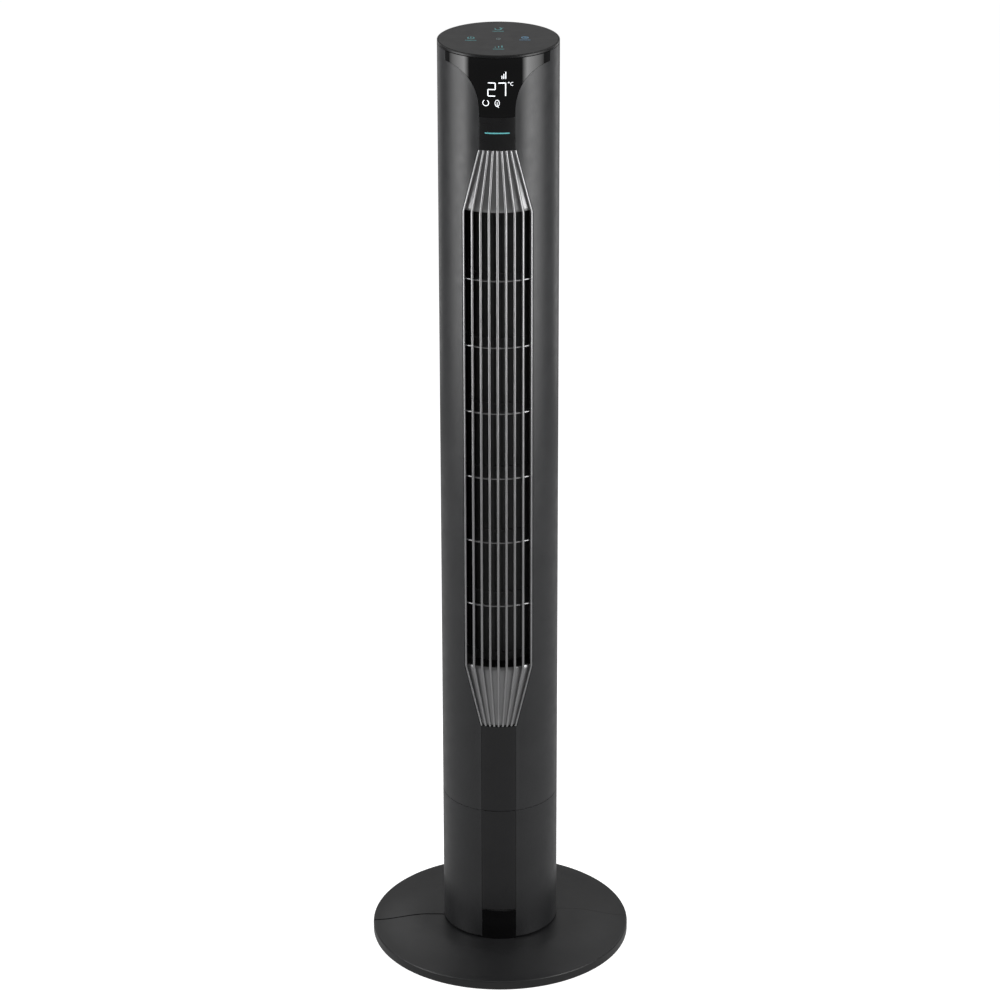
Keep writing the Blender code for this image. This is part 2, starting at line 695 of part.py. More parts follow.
def front_shell_mesh():
    """Half of the tower's wall. Its front is open for the grille and has a recess, with only the
    inner skin left, for the strip, the panel and the lens. A lip runs behind the rear shell's edges."""
    middle_count = 8
    side_count = 5
    heights = [TOWER_BOTTOM, GRILLE_BOTTOM - 2 * GAP, GRILLE_BOTTOM - GAP, GRILLE_OPEN_BOTTOM]
    heights += [GRILLE_OPEN_TOP, GRILLE_TOP + GAP, GRILLE_TOP + 2 * GAP] + lens_heights()
    radii = [LIP_INNER, LIP_OUTER, BODY_INNER, SKIN_OUTER, BODY_RADIUS]
    first_middle = side_count + 2
    columns = middle_count + 2 * first_middle
    grille_rows = (heights.index(GRILLE_BOTTOM - GAP), heights.index(GRILLE_TOP + GAP))
    first_display_row = heights.index(LENS_BOTTOM) + 1
    display_rows = range(first_display_row, first_display_row + 4)

    def column_angle(i, z, radius):
        # The front opening's sides run straight back, so its angle grows inwards.
        edge = half_angle(BODY_RADIUS * math.sin(math.radians(front_edge(z))), radius)
        from_side = min(i, columns - i)
        sign = -1 if i < columns / 2 else 1
        if from_side == 0:
            return sign * LIP_END_ANGLE
        if from_side == 1:
            return sign * SHELL_EDGE_ANGLE
        if from_side < first_middle:
            share = (from_side - 2) / side_count
            return sign * (LIP_START_ANGLE + (edge - LIP_START_ANGLE) * share)
        return edge * ((i - first_middle) * 2 / middle_count - 1)

    def filled(i, j, k):
        from_side = min(i, columns - 1 - i)
        is_middle = first_middle <= i < columns - first_middle
        in_grille = grille_rows[0] <= j < grille_rows[1]
        if from_side == 0:
            return k == 0
        if from_side == 1:
            return True
        if not is_middle:
            return k >= 2
        if in_grille:
            return False
        in_display = j in display_rows and first_middle + 2 <= i < columns - first_middle - 2
        return k == 2 and not in_display

    def place(i, j, k):
        return around(column_angle(i, heights[j], radii[k]), radii[k], heights[j])

    return lattice_mesh("front_shell", (columns, len(heights) - 1, 4), filled, place)


def rear_shell_mesh():
    """The other half of the tower's wall, with a tall window for the intake grille."""
    side_count = 4
    middle_count = 8
    angles = spread(-SHELL_EDGE_ANGLE, -INTAKE_HALF_ANGLE, side_count)
    angles += spread(-INTAKE_HALF_ANGLE, INTAKE_HALF_ANGLE, middle_count)[1:]
    angles += spread(INTAKE_HALF_ANGLE, SHELL_EDGE_ANGLE, side_count)[1:]
    heights = [TOWER_BOTTOM, INTAKE_BOTTOM, INTAKE_TOP, SHELL_TOP]
    radii = [BODY_INNER, BODY_RADIUS]

    def filled(i, j, k):
        is_middle = side_count <= i < side_count + middle_count
        return j != 1 or not is_middle

    return lattice_mesh(
        "rear_shell", (len(angles) - 1, 3, 1), filled,
        lambda i, j, k: around(180 + angles[i], radii[k], heights[j]))


def shell_screw_turns():
    """Where the shell screws go in: a turn that takes +Z to the screw's inward direction."""
    from_front = 96
    turns = []
    for z in (236 * MM, 625 * MM, 1010 * MM):
        for angle in (-from_front, from_front):
            place = Matrix.Translation((0, 0, z)) @ Matrix.Rotation(math.radians(angle), 4, "Z")
            turns.append(place @ Matrix.Rotation(-math.pi / 2, 4, "X"))
    return turns


def build_shells(materials):
    front = add_object("front_shell", front_shell_mesh(), materials["body_plastic"])
    rear = add_object("rear_shell", rear_shell_mesh(), materials["body_plastic"])
    head_radius = 3.3 * MM
    shank_radius = 1.5 * MM
    head_out = BODY_RADIUS - 0.2 * MM
    recess = BODY_RADIUS - 1.8 * MM
    hole_start = BODY_RADIUS + 15 * MM
    hole_end = LIP_INNER - 2 * MM
    # A screw's own +Z points inwards, so places further out have a lower z.
    profile = [(0, -hole_start), (head_radius + GAP, -hole_start), (head_radius + GAP, -recess)]
    profile += [(shank_radius + GAP, -recess), (shank_radius + GAP, -hole_end), (0, -hole_end)]
    for shell in (front, rear):
        holes = []
        for turn in shell_screw_turns():
            hole = turned_mesh("screw_hole", profile, HOLE_SIDES)
            hole.transform(turn)
            holes.append(hole)
        cut_holes(shell, holes)
    for number, turn in enumerate(shell_screw_turns(), 1):
        mesh = screw_mesh("shell_screw", head_radius, 1.3 * MM, shank_radius, 6.2 * MM)
        mesh.transform(turn @ Matrix.Translation((0, 0, -head_out)))
        add_object("shell_screw_%d" % number, mesh, materials["steel"])


# ---------------------------------------------------------------- front and back grilles

def front_grille_mesh():
    """Nine vertical ribs that converge at both ends, six cross ribs behind their faces, and a
    closed panel behind the converging ends. All of it is deep in the direction of +Y."""
    panel_front = 2 * MM
    panel_back = 4.6 * MM
    rib_back = 7.5 * MM
    depths = [0, panel_front, panel_back, rib_back]
    taper_rows = 2
    bay = (GRILLE_OPEN_TOP - GRILLE_OPEN_BOTTOM) / (CROSS_RIB_COUNT + 1)
    heights = spread(GRILLE_BOTTOM, GRILLE_OPEN_BOTTOM, taper_rows)
    cross_rows = []
    for number in range(1, CROSS_RIB_COUNT + 1):
        middle = GRILLE_OPEN_BOTTOM + number * bay
        cross_rows.append(len(heights))
        heights += [middle - CROSS_RIB_HEIGHT / 2, middle + CROSS_RIB_HEIGHT / 2]
    heights += spread(GRILLE_OPEN_TOP, GRILLE_TOP, taper_rows)
    columns = 2 * RIB_COUNT - 1
    rows = len(heights) - 1

    def filled(i, j, k):
        is_rib = i % 2 == 0
        is_panel = j < taper_rows or j >= rows - taper_rows
        if is_rib:
            return k < 2 or not is_panel
        return k == 1 and (is_panel or j in cross_rows)

    def place(i, j, k):
        pitch, width = rib_spacing(heights[j])
        side = width / 2 if i % 2 else -width / 2
        x = (i // 2 - RIB_COUNT // 2) * pitch + side
        return Vector((x, depths[k] - math.sqrt(BODY_RADIUS ** 2 - x * x), heights[j]))

    return lattice_mesh("front_grille", (columns, rows, 3), filled, place)


def rear_grille_mesh():
    """The intake: slots stacked one above the other in four columns."""
    edge = INTAKE_HALF_ANGLE - math.degrees(GAP / BODY_RADIUS)
    half_web = 1.4
    columns = 4
    angles = []
    for middle in spread(-edge + half_web, edge - half_web, columns):
        angles += [middle - half_web, middle + half_web]
    bottom = INTAKE_BOTTOM + GAP
    top = INTAKE_TOP - GAP
    pitch = (top - bottom) / INTAKE_SLOTS
    heights = [bottom]
    for number in range(INTAKE_SLOTS):
        middle = bottom + (number + 0.5) * pitch
        heights += [middle - INTAKE_SLOT / 2, middle + INTAKE_SLOT / 2]
    heights.append(top)
    radii = [BODY_INNER, BODY_RADIUS]

    def filled(i, j, k):
        return i % 2 == 0 or j % 2 == 0

    return lattice_mesh(
        "rear_grille", (len(angles) - 1, len(heights) - 1, 1), filled,
        lambda i, j, k: around(180 + angles[i], radii[k], heights[j]))


def lens_mesh():
    """The gloss lens: a band under the top that narrows, like a funnel, to the panel's width."""
    count = 8
    inset = math.degrees(GAP / BODY_RADIUS)
    heights = lens_heights()
    last = len(heights) - 1
    radii = [INLAY_INNER, BODY_RADIUS]

    def place(i, j, k):
        # Its edge lies one gap in from the shell's, and one gap up from where the shell's turns.
        lift = -GAP if j == last else GAP
        edge = lens_edge(heights[j]) - inset
        return around(edge * (i * 2 / count - 1), radii[k], heights[j] + lift)

    return lattice_mesh("display_lens", (count, last, 1), lambda i, j, k: True, place)


def build_front_and_back(materials):
    add_object("front_grille", front_grille_mesh(), materials["silver_grille"])
    add_object("rear_grille", rear_grille_mesh(), materials["body_plastic"])
    add_object("display_lens", lens_mesh(), materials["gloss_black"])
    strip = inlay_mesh("front_strip", STRIP_HALF_WIDTH, TOWER_BOTTOM, GRILLE_BOTTOM - 2 * GAP)
    add_object("front_strip", strip, materials["strip_plastic"])
    panel_half = BODY_RADIUS * math.sin(math.radians(PANEL_ANGLE))
    panel = inlay_mesh("front_panel", panel_half, GRILLE_TOP + 2 * GAP, LENS_BOTTOM)
    add_object("front_panel", panel, materials["satin_black"])


# ---------------------------------------------------------------- top and electronics

def build_top(materials):
    """The top cover, with a thin rim round the flat touch panel, and the panel's board."""
    plate_bottom = SHELL_TOP - 1.5 * MM
    seat = SHELL_TOP + 1.1 * MM
    rim_inner = BODY_RADIUS - 1.5 * MM
    rim_top = TOTAL_HEIGHT - 0.4 * MM
    chamfer = 0.5 * MM
    cover = [(0, plate_bottom), (PLATE_EDGE, plate_bottom), (PLATE_EDGE, SHELL_TOP + GAP)]
    cover += [(BODY_RADIUS, SHELL_TOP + GAP), (BODY_RADIUS, rim_top - chamfer)]
    cover += [(BODY_RADIUS - chamfer, rim_top), (rim_inner, rim_top), (rim_inner, seat), (0, seat)]
    add_object("top_cover", turned_mesh("top_cover", cover), materials["satin_black"])

    edge = rim_inner - GAP
    chamfer = TOTAL_HEIGHT - rim_top
    panel = [(0, seat + GAP), (edge, seat + GAP), (edge, rim_top), (edge - chamfer, TOTAL_HEIGHT)]
    panel.append((0, TOTAL_HEIGHT))
    add_object("touch_panel", turned_mesh("touch_panel", panel), materials["touch_panel"])

    board_radius = 50 * MM
    top = plate_bottom - GAP
    bottom = top - BOARD_THICKNESS
    board = ring_profile(0, board_radius, bottom, top)
    add_object("touch_board", turned_mesh("touch_board", board), materials["circuit_board"])


def build_electronics(materials):
    """The display behind the lens, and the control board with the motor's capacitor."""
    board_front = -51 * MM
    low = (-17 * MM, board_front, 1004 * MM)
    high = (17 * MM, board_front + BOARD_THICKNESS, 1056 * MM)
    add_object("display_board", box_mesh("display_board", low, high), materials["circuit_board"])
    low = (-14.5 * MM, -59 * MM, 1012 * MM)
    high = (14.5 * MM, board_front - GAP, 1052 * MM)
    add_object("display_module", box_mesh("display_module", low, high), materials["display_white"])

    board_front = 14 * MM
    board_back = board_front + BOARD_THICKNESS
    low = (-42 * MM, board_front, 940 * MM)
    high = (42 * MM, board_back, 1040 * MM)
    add_object("control_board", box_mesh("control_board", low, high), materials["circuit_board"])
    can_radius = 12.5 * MM
    can_height = 30 * MM
    chamfer = 1.5 * MM
    can = [(0, 0), (can_radius - chamfer, 0), (can_radius, chamfer)]
    can += [(can_radius, can_height), (0, can_height)]
    capacitor = add_object("capacitor", turned_mesh("capacitor", can, SHAFT_SIDES), materials["steel"])
    capacitor.location = (22 * MM, board_back + GAP, 975 * MM)
    capacitor.rotation_euler.x = -math.pi / 2


# ---------------------------------------------------------------- air path

def scroll_outline():
    """The wall that guides air round the impeller: a spiral, closest at its rear end."""
    rear_angle = 62
    front_angle = -50
    least_room = 2.8 * MM
    growth = 8.5 * MM
    points = []
    for share in spread(0, 1, 10):
        turn = math.radians(rear_angle + (front_angle - rear_angle) * share)
        radius = IMPELLER_RADIUS + least_room + growth * share
        points.append((radius * math.cos(turn), IMPELLER_Y + radius * math.sin(turn)))
    points.append((36.6 * MM, -44.6 * MM))
    return thick_outline(points, AIR_WALL)


def tongue_outline():
    """The wall on the other side of the outlet: a lip close to the impeller, then back to the shell."""
    points = [(-36.6 * MM, -44.6 * MM), (-36.2 * MM, -33 * MM), (-37.6 * MM, -28.5 * MM)]
    points += [(-42 * MM, -26.5 * MM), (-56 * MM, -16 * MM)]
    return thick_outline(points, AIR_WALL)


def add_on_impeller_axis(name, profile, sides, material):
    """A turned piece that stays still, round the impeller's axis."""
    mesh = turned_mesh(name, profile, sides)
    mesh.transform(Matrix.Translation((0, IMPELLER_Y, 0)))
    return add_object(name, mesh, material)


def add_disc_plate(name, bottom, shaft_hole, material):
    """A round plate across the tower, with a hole on the impeller's axis and one for the lead."""
    top = bottom + PLATE_THICKNESS
    plate = add_object(name, turned_mesh(name, ring_profile(0, PLATE_EDGE, bottom, top)), material)
    below = bottom - 5 * MM
    above = top + 5 * MM
    lead_hole = 3.5 * MM
    cut_holes(plate, [hole_mesh(shaft_hole, below, above, 0, IMPELLER_Y),
                      hole_mesh(lead_hole, below, above, LEAD_X, 0)])


def build_air_path(materials):
    """Two plates across the tower, the walls between them, and the bush in the upper plate."""
    plastic = materials["inner_plastic"]
    bush_radius = 11.7 * MM
    add_disc_plate("motor_plate", MOTOR_PLATE_Z, 14 * MM, plastic)
    add_disc_plate("upper_bearing_plate", BEARING_PLATE_Z, bush_radius + 2 * GAP, plastic)
    wall_bottom = MOTOR_PLATE_Z + PLATE_THICKNESS + GAP
    wall_top = BEARING_PLATE_Z - GAP
    for name, outline in (("scroll_wall", scroll_outline()), ("air_tongue", tongue_outline())):
        add_object(name, extruded_mesh(name, outline, wall_bottom, wall_top), plastic)

    bush_bottom = BEARING_PLATE_Z - 6 * MM
    bush_top = BEARING_PLATE_Z + PLATE_THICKNESS + 4 * MM
    bush = ring_profile(BEARING_BORE, bush_radius, bush_bottom, bush_top)
    add_on_impeller_axis("top_bearing", bush, ROUND_SIDES, materials["bronze"])


def build_tower_lead(material):
    """The lead from the pivot tube up the side of the air path to the control board."""
    lead = [(0, 0, SEAM_Z - 5 * MM), (0, 0, 196 * MM), (-12 * MM, -2 * MM, 214 * MM)]
    lead += [(-44 * MM, -4 * MM, 236 * MM), (-52 * MM, 0, 262 * MM), (LEAD_X, 0, 330 * MM)]
    lead += [(LEAD_X, 0, 620 * MM), (LEAD_X, 0, 912 * MM), (-48 * MM, 6 * MM, 934 * MM)]
    lead.append((-36 * MM, 11 * MM, 946 * MM))
    add_cable("tower_lead", lead, 2.5 * MM, material)


# ---------------------------------------------------------------- motor and impeller

def build_motor(materials):
    """The motor's fixed pieces. It hangs under its plate, on the impeller's axis."""
    seat_radius = 9 * MM
    shaft_hole = 5.5 * MM
    face_radius = 24 * MM
    stator = ring_profile(STATOR_BORE, STATOR_RADIUS, STATOR_BOTTOM, STATOR_TOP)
    add_on_impeller_axis("motor_stator", stator, ROUND_SIDES, materials["laminations"])
    for end, face, direction in (("upper", STATOR_TOP, 1), ("lower", STATOR_BOTTOM, -1)):
        near = face + direction * GAP
        step = face + direction * 5 * MM
        inner = face + direction * 11 * MM
        far = face + direction * CAP_HEIGHT
        rim_inner = STATOR_RADIUS - 3 * MM
        cap = [(STATOR_RADIUS, near), (STATOR_RADIUS, step), (face_radius, far), (shaft_hole, far)]
        cap += [(shaft_hole, inner), (seat_radius, inner), (seat_radius, step), (rim_inner, near)]
        add_on_impeller_axis("motor_%s_cap" % end, cap, ROUND_SIDES, materials["inner_plastic"])
        bearing = ring_profile(BEARING_BORE, seat_radius - GAP, step, inner - direction * GAP)
        add_on_impeller_axis("motor_%s_bearing" % end, bearing, SHAFT_SIDES, materials["steel"])
    damper = ring_profile(16 * MM, 23 * MM, STATOR_TOP + CAP_HEIGHT + GAP, MOTOR_PLATE_Z - GAP)
    add_on_impeller_axis("motor_damper", damper, ROUND_SIDES, materials["rubber"])


def build_impeller(materials):
    """Everything that spins: rotor, shaft, rubber hub, impeller and the stub shaft at its top."""
    pivot = bpy.data.objects.new("impeller_pivot", None)
    bpy.context.scene.collection.objects.link(pivot)
    pivot.location.y = IMPELLER_Y
    around_shaft = SHAFT_RADIUS + GAP
    rotor = ring_profile(around_shaft, STATOR_BORE - 0.5 * MM, STATOR_BOTTOM + 1 * MM, STATOR_TOP - 1 * MM)
    shaft = ring_profile(0, SHAFT_RADIUS, STATOR_BOTTOM - 16 * MM, IMPELLER_BOTTOM + 12 * MM)
    hub = ring_profile(around_shaft, 11.7 * MM, IMPELLER_BOTTOM - 9 * MM, IMPELLER_BOTTOM + 9 * MM)
    stub_top = BEARING_PLATE_Z + PLATE_THICKNESS + 6 * MM
    stub = ring_profile(0, SHAFT_RADIUS, IMPELLER_TOP - 8 * MM, stub_top)
    turned = (("motor_rotor", rotor, ROUND_SIDES, "laminations"),
              ("motor_shaft", shaft, SHAFT_SIDES, "steel"),
              ("coupling_hub", hub, SHAFT_SIDES, "rubber"),
              ("stub_shaft", stub, SHAFT_SIDES, "steel"))
    for name, profile, sides, material in turned:
        add_object(name, turned_mesh(name, profile, sides), materials[material], parent=pivot)
    add_object("impeller", impeller_mesh(), materials["inner_plastic"], parent=pivot)


def impeller_mesh():
    """A cross-flow impeller: rows of slanted blades between rings, with a disc and a hub at each end."""
    ring_height = 2.4 * MM
    hub_radii = (12 * MM, SHAFT_RADIUS + GAP)
    inner = IMPELLER_RADIUS - BLADE_DEPTH
    segment = (IMPELLER_TOP - IMPELLER_BOTTOM) / IMPELLER_SEGMENTS
    heights = [IMPELLER_BOTTOM, IMPELLER_BOTTOM + ring_height]
    for number in range(1, IMPELLER_SEGMENTS):
        middle = IMPELLER_BOTTOM + number * segment
        heights += [middle - ring_height / 2, middle + ring_height / 2]
    heights += [IMPELLER_TOP - ring_height, IMPELLER_TOP]
    rows = len(heights) - 1
    slant = 20
    blade_share = 0.16
    pitch = 360 / BLADE_COUNT

    def filled(i, j, k):
        is_end = j in (0, rows - 1)
        if k == 0:
            return is_end
        return j % 2 == 0 or i % 2 == 0

    def place(i, j, k):
        hub = hub_radii[0] if j < rows / 2 else hub_radii[1]
        radius = (hub, inner, IMPELLER_RADIUS)[k]
        angle = (i // 2) * pitch + (i % 2) * blade_share * pitch
        if k == 2:
            angle += slant
        return around(angle, radius, heights[j])

    return lattice_mesh("impeller", (2 * BLADE_COUNT, rows, 2), filled, place, ring=True)


def main():
    clear_scene()
    materials = make_materials()
    build_base(materials)
    build_column(materials)
    build_turntable(materials)
    build_oscillation_drive(materials)
    build_shells(materials)
    build_front_and_back(materials)
    build_top(materials)
    build_electronics(materials)
    build_air_path(materials)
    build_tower_lead(materials["cable"])
    build_motor(materials)
    build_impeller(materials)


main()
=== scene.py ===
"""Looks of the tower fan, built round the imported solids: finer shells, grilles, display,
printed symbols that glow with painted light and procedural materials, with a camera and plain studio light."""
import json
import math

import bmesh
import bpy
from mathutils import Matrix, Vector


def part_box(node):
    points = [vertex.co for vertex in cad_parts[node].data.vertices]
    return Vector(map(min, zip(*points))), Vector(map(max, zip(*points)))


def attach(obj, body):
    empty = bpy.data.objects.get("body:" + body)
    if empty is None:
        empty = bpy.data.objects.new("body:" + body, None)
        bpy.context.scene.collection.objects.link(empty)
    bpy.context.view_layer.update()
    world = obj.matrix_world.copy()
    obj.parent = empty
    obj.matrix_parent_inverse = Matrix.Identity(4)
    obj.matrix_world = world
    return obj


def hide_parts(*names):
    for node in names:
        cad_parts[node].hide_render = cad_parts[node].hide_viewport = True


MM = 0.001

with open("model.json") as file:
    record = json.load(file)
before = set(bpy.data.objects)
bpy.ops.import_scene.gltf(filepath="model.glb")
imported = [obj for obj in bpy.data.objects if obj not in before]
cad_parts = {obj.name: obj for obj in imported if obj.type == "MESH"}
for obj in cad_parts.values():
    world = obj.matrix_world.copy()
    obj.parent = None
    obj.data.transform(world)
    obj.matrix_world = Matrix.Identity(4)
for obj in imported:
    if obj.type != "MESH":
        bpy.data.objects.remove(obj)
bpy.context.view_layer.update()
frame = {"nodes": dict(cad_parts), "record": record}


def low_of(node):
    return Vector(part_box(node)[0])


def high_of(node):
    return Vector(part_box(node)[1])


# Sizes taken from the solids.
BODY_RADIUS = high_of("column_shell").x
TOTAL_HEIGHT = high_of("touch_panel").z
BASE_TO_HEIGHT = 147 / 1068
BASE_RADIUS = TOTAL_HEIGHT * BASE_TO_HEIGHT
SHELL_TOP = high_of("front_shell").z
TOWER_BOTTOM = low_of("front_shell").z
GRILLE_BOTTOM = low_of("front_grille").z
GRILLE_TOP = high_of("front_grille").z
PANEL_BOTTOM = low_of("front_panel").z
LENS_BOTTOM = low_of("display_lens").z
IMPELLER_Y = (low_of("impeller").y + high_of("impeller").y) / 2

# Finer sizes, as in the solids.
GAP = 0.3 * MM
WALL = 2.7 * MM
BODY_INNER = BODY_RADIUS - WALL
SKIN_OUTER = BODY_RADIUS - 1.4 * MM
INLAY_INNER = SKIN_OUTER + GAP
LIP_OUTER = BODY_INNER - GAP
LIP_INNER = LIP_OUTER - 1.6 * MM
STRIP_HALF_WIDTH = 19.5 * MM
RIB_COUNT = 9
RIB_WIDTH = 2.6 * MM
RIB_WIDTH_END = 2.3 * MM
RIB_PITCH = (high_of("front_grille").x - low_of("front_grille").x - RIB_WIDTH) / (RIB_COUNT - 1)
RIB_PITCH_END = 4.78 * MM
GRILLE_TAPER = 70.5 * MM
OPEN_BOTTOM = GRILLE_BOTTOM + GRILLE_TAPER
OPEN_TOP = GRILLE_TOP - GRILLE_TAPER
CROSS_RIB_COUNT = 6
CROSS_RIB_HEIGHT = 1.7 * MM
EDGE_ROW = 1.5 * MM
PANEL_ANGLE = 17.0
BAND_ANGLE = 58.0
BAND_BOTTOM = SHELL_TOP - 11 * MM

# The camera: how far it stands from the tower's axis, how high, and how it looks.
CAMERA_DISTANCE = 3.918
CAMERA_HEIGHT = 2.2195
CAMERA_TURN = 1.3
CAMERA_PITCH = 23.22
CAMERA_ROLL = -0.121
CAMERA_SIDE = 0.68 * MM
CAMERA_LENS = 138.54


# ---- materials

def new_material(name):
    material = bpy.data.materials.new(name)
    material.use_nodes = True
    nodes = material.node_tree.nodes
    return material, nodes, material.node_tree.links, nodes["Principled BSDF"]


def noise(nodes, links, scale, detail=3.0):
    """A noise texture in the object's own space; scale is in cells per metre."""
    place = nodes.new("ShaderNodeTexCoord")
    texture = nodes.new("ShaderNodeTexNoise")
    texture.inputs["Scale"].default_value = scale
    texture.inputs["Detail"].default_value = detail
    links.new(place.outputs["Object"], texture.inputs["Vector"])
    return texture.outputs["Fac"]


def remap(nodes, links, value, low, high, from_low=0.3, from_high=0.7):
    ramp = nodes.new("ShaderNodeMapRange")
    ramp.inputs["From Min"].default_value = from_low
    ramp.inputs["From Max"].default_value = from_high
    ramp.inputs["To Min"].default_value = low
    ramp.inputs["To Max"].default_value = high
    links.new(value, ramp.inputs["Value"])
    return ramp.outputs["Result"]


def mix_colour(nodes, links, factor, first, second):
    """Mix two colours; each is a tuple or a socket."""
    mix = nodes.new("ShaderNodeMix")
    mix.data_type = "RGBA"
    links.new(factor, mix.inputs[0])
    for socket, colour in ((mix.inputs[6], first), (mix.inputs[7], second)):
        if isinstance(colour, tuple):
            socket.default_value = (*colour, 1.0)
        else:
            links.new(colour, socket)
    return mix.outputs[2]


def scaled(colour, factor):
    return tuple(part * factor for part in colour)


def surface(name, colour, roughness, metallic=0.0, grain=1400, bump=0.02, spread=0.12,
            rough_spread=0.05, wear=0.6, specular=0.5):
    """A moulded or painted surface: cloudy colour, uneven gloss, fine grain and lighter, worn edges."""
    material, nodes, links, shader = new_material(name)
    cloud_scale = 22
    smear_scale = 75
    cloudy = remap(nodes, links, noise(nodes, links, cloud_scale, 4), 0, 1)
    tinted = mix_colour(nodes, links, cloudy, scaled(colour, 1 - spread), scaled(colour, 1 + spread))
    geometry = nodes.new("ShaderNodeNewGeometry")
    edge = remap(nodes, links, geometry.outputs["Pointiness"], 0, wear, 0.515, 0.60)
    worn = tuple(min(part * 1.5 + 0.012, 1) for part in colour)
    links.new(mix_colour(nodes, links, edge, tinted, worn), shader.inputs["Base Color"])
    smears = noise(nodes, links, smear_scale, 5)
    rough = remap(nodes, links, smears, max(roughness - rough_spread, 0.02), roughness + rough_spread)
    links.new(rough, shader.inputs["Roughness"])
    fine = noise(nodes, links, grain, 2)
    relief = nodes.new("ShaderNodeBump")
    relief.inputs["Strength"].default_value = bump * 10
    relief.inputs["Distance"].default_value = 0.05 * MM
    links.new(fine, relief.inputs["Height"])
    links.new(relief.outputs["Normal"], shader.inputs["Normal"])
    shader.inputs["Metallic"].default_value = metallic
    shader.inputs["Specular IOR Level"].default_value = specular
    return material


def glowing(name, colour, strength):
    """A lit symbol, or a printed one whose glow is painted light, slightly uneven like light behind a mask.
    """
    material, nodes, links, shader = new_material(name)
    uneven = remap(nodes, links, noise(nodes, links, 400, 2), 0, 1)
    tone = mix_colour(nodes, links, uneven, scaled(colour, 0.86), colour)
    links.new(tone, shader.inputs["Base Color"])
    links.new(tone, shader.inputs["Emission Color"])
    shader.inputs["Emission Strength"].default_value = strength
    shader.inputs["Roughness"].default_value = 0.4
    return material


def laminated(name, colour, roughness, pitch):
    """Stacked sheet steel: thin bands across the stack, one for each sheet or so."""
    bands_per_scale = 3
    material = surface(name, colour, roughness, metallic=0.9, grain=900)
    nodes = material.node_tree.nodes
    links = material.node_tree.links
    shader = nodes["Principled BSDF"]
    place = nodes.new("ShaderNodeTexCoord")
    bands = nodes.new("ShaderNodeTexWave")
    bands.bands_direction = "Z"
    bands.inputs["Scale"].default_value = 1 / pitch / bands_per_scale
    links.new(place.outputs["Object"], bands.inputs["Vector"])
    relief = nodes.new("ShaderNodeBump")
    relief.inputs["Strength"].default_value = 0.6
    relief.inputs["Distance"].default_value = 0.1 * MM
    links.new(bands.outputs["Fac"], relief.inputs["Height"])
    links.new(relief.outputs["Normal"], shader.inputs["Normal"])
    return material


def circuit(name):
    """Solder mask with paler copper tracks under it and small bright pads."""
    material, nodes, links, shader = new_material(name)
    place = nodes.new("ShaderNodeTexCoord")
    tracks = nodes.new("ShaderNodeTexBrick")
    tracks.inputs["Scale"].default_value = 170
    tracks.inputs["Mortar Size"].default_value = 0.05
    tracks.inputs["Color1"].default_value = (0.010, 0.085, 0.030, 1)
    tracks.inputs["Color2"].default_value = (0.014, 0.110, 0.042, 1)
    tracks.inputs["Mortar"].default_value = (0.035, 0.190, 0.080, 1)
    links.new(place.outputs["Object"], tracks.inputs["Vector"])
    pads = nodes.new("ShaderNodeTexVoronoi")
    pads.inputs["Scale"].default_value = 210
    links.new(place.outputs["Object"], pads.inputs["Vector"])
    is_pad = remap(nodes, links, pads.outputs["Distance"], 1, 0, 0.10, 0.14)
    links.new(mix_colour(nodes, links, is_pad, tracks.outputs["Color"], (0.55, 0.55, 0.52)),
              shader.inputs["Base Color"])
    links.new(is_pad, shader.inputs["Metallic"])
    links.new(remap(nodes, links, noise(nodes, links, 300), 0.25, 0.5), shader.inputs["Roughness"])
    return material


def make_materials():
    materials = {
        "laminations": laminated("laminations", (0.24, 0.24, 0.25), 0.45, 0.5 * MM),
        "circuit_board": circuit("circuit_board"),
        "lit_white": glowing("lit_white", (0.94, 0.97, 1.0), 1.1),
        # The three printed finishes below glow as well: painted light, with no lamp behind the print.
        "print_teal_painted_glow": glowing("print_teal_painted_glow", (0.14, 0.50, 0.52), 0.30),
        "print_blue_painted_glow": glowing("print_blue_painted_glow", (0.17, 0.40, 0.62), 0.30),
        "print_grey_painted_glow": glowing("print_grey_painted_glow", (0.22, 0.30, 0.31), 0.08),
    }

    def add(name, colour, roughness, **details):
        materials[name] = surface(name, colour, roughness, **details)

    add("body_plastic", (0.024, 0.0245, 0.026), 0.36, grain=1800)
    add("base_plastic", (0.0145, 0.0148, 0.0155), 0.37, grain=1500, bump=0.03, rough_spread=0.02)
    add("strip_plastic", (0.012, 0.012, 0.013), 0.40, grain=1800, specular=0.4)
    add("gloss_black", (0.003, 0.003, 0.0032), 0.05, grain=300, bump=0.001, rough_spread=0.02, wear=0.3)
    add("satin_black", (0.007, 0.007, 0.0075), 0.30, grain=1800, specular=0.4)
    add("touch_panel", (0.016, 0.0163, 0.017), 0.42, grain=2200, spread=0.03, rough_spread=0.02)
    add("silver_grille", (0.37, 0.37, 0.375), 0.35, metallic=0.85, grain=900, bump=0.002, spread=0.06)
    add("inner_plastic", (0.075, 0.075, 0.077), 0.55)
    add("rubber", (0.010, 0.010, 0.010), 0.80, grain=700, bump=0.06)
    add("steel", (0.48, 0.48, 0.49), 0.30, metallic=1.0, grain=500)
    add("bronze", (0.42, 0.26, 0.12), 0.38, metallic=1.0, grain=900, bump=0.05)
    add("acetal", (0.68, 0.67, 0.63), 0.35, spread=0.04)
    add("display_white", (0.60, 0.60, 0.60), 0.40, spread=0.05)
    add("cable", (0.012, 0.012, 0.013), 0.50, grain=600, bump=0.04)
    return materials


# ---- mesh helpers

def spread(start, stop, count):
    """count + 1 evenly spaced values from start to stop."""
    return [start + (stop - start) * index / count for index in range(count + 1)]


def around(angle, radius, z):
    """A point at an angle from the front, in degrees, at a radius from the tower's axis."""
    turn = math.radians(angle)
    return Vector((radius * math.sin(turn), -radius * math.cos(turn), z))


def half_angle(half_width, radius):
    return math.degrees(math.asin(half_width / radius))


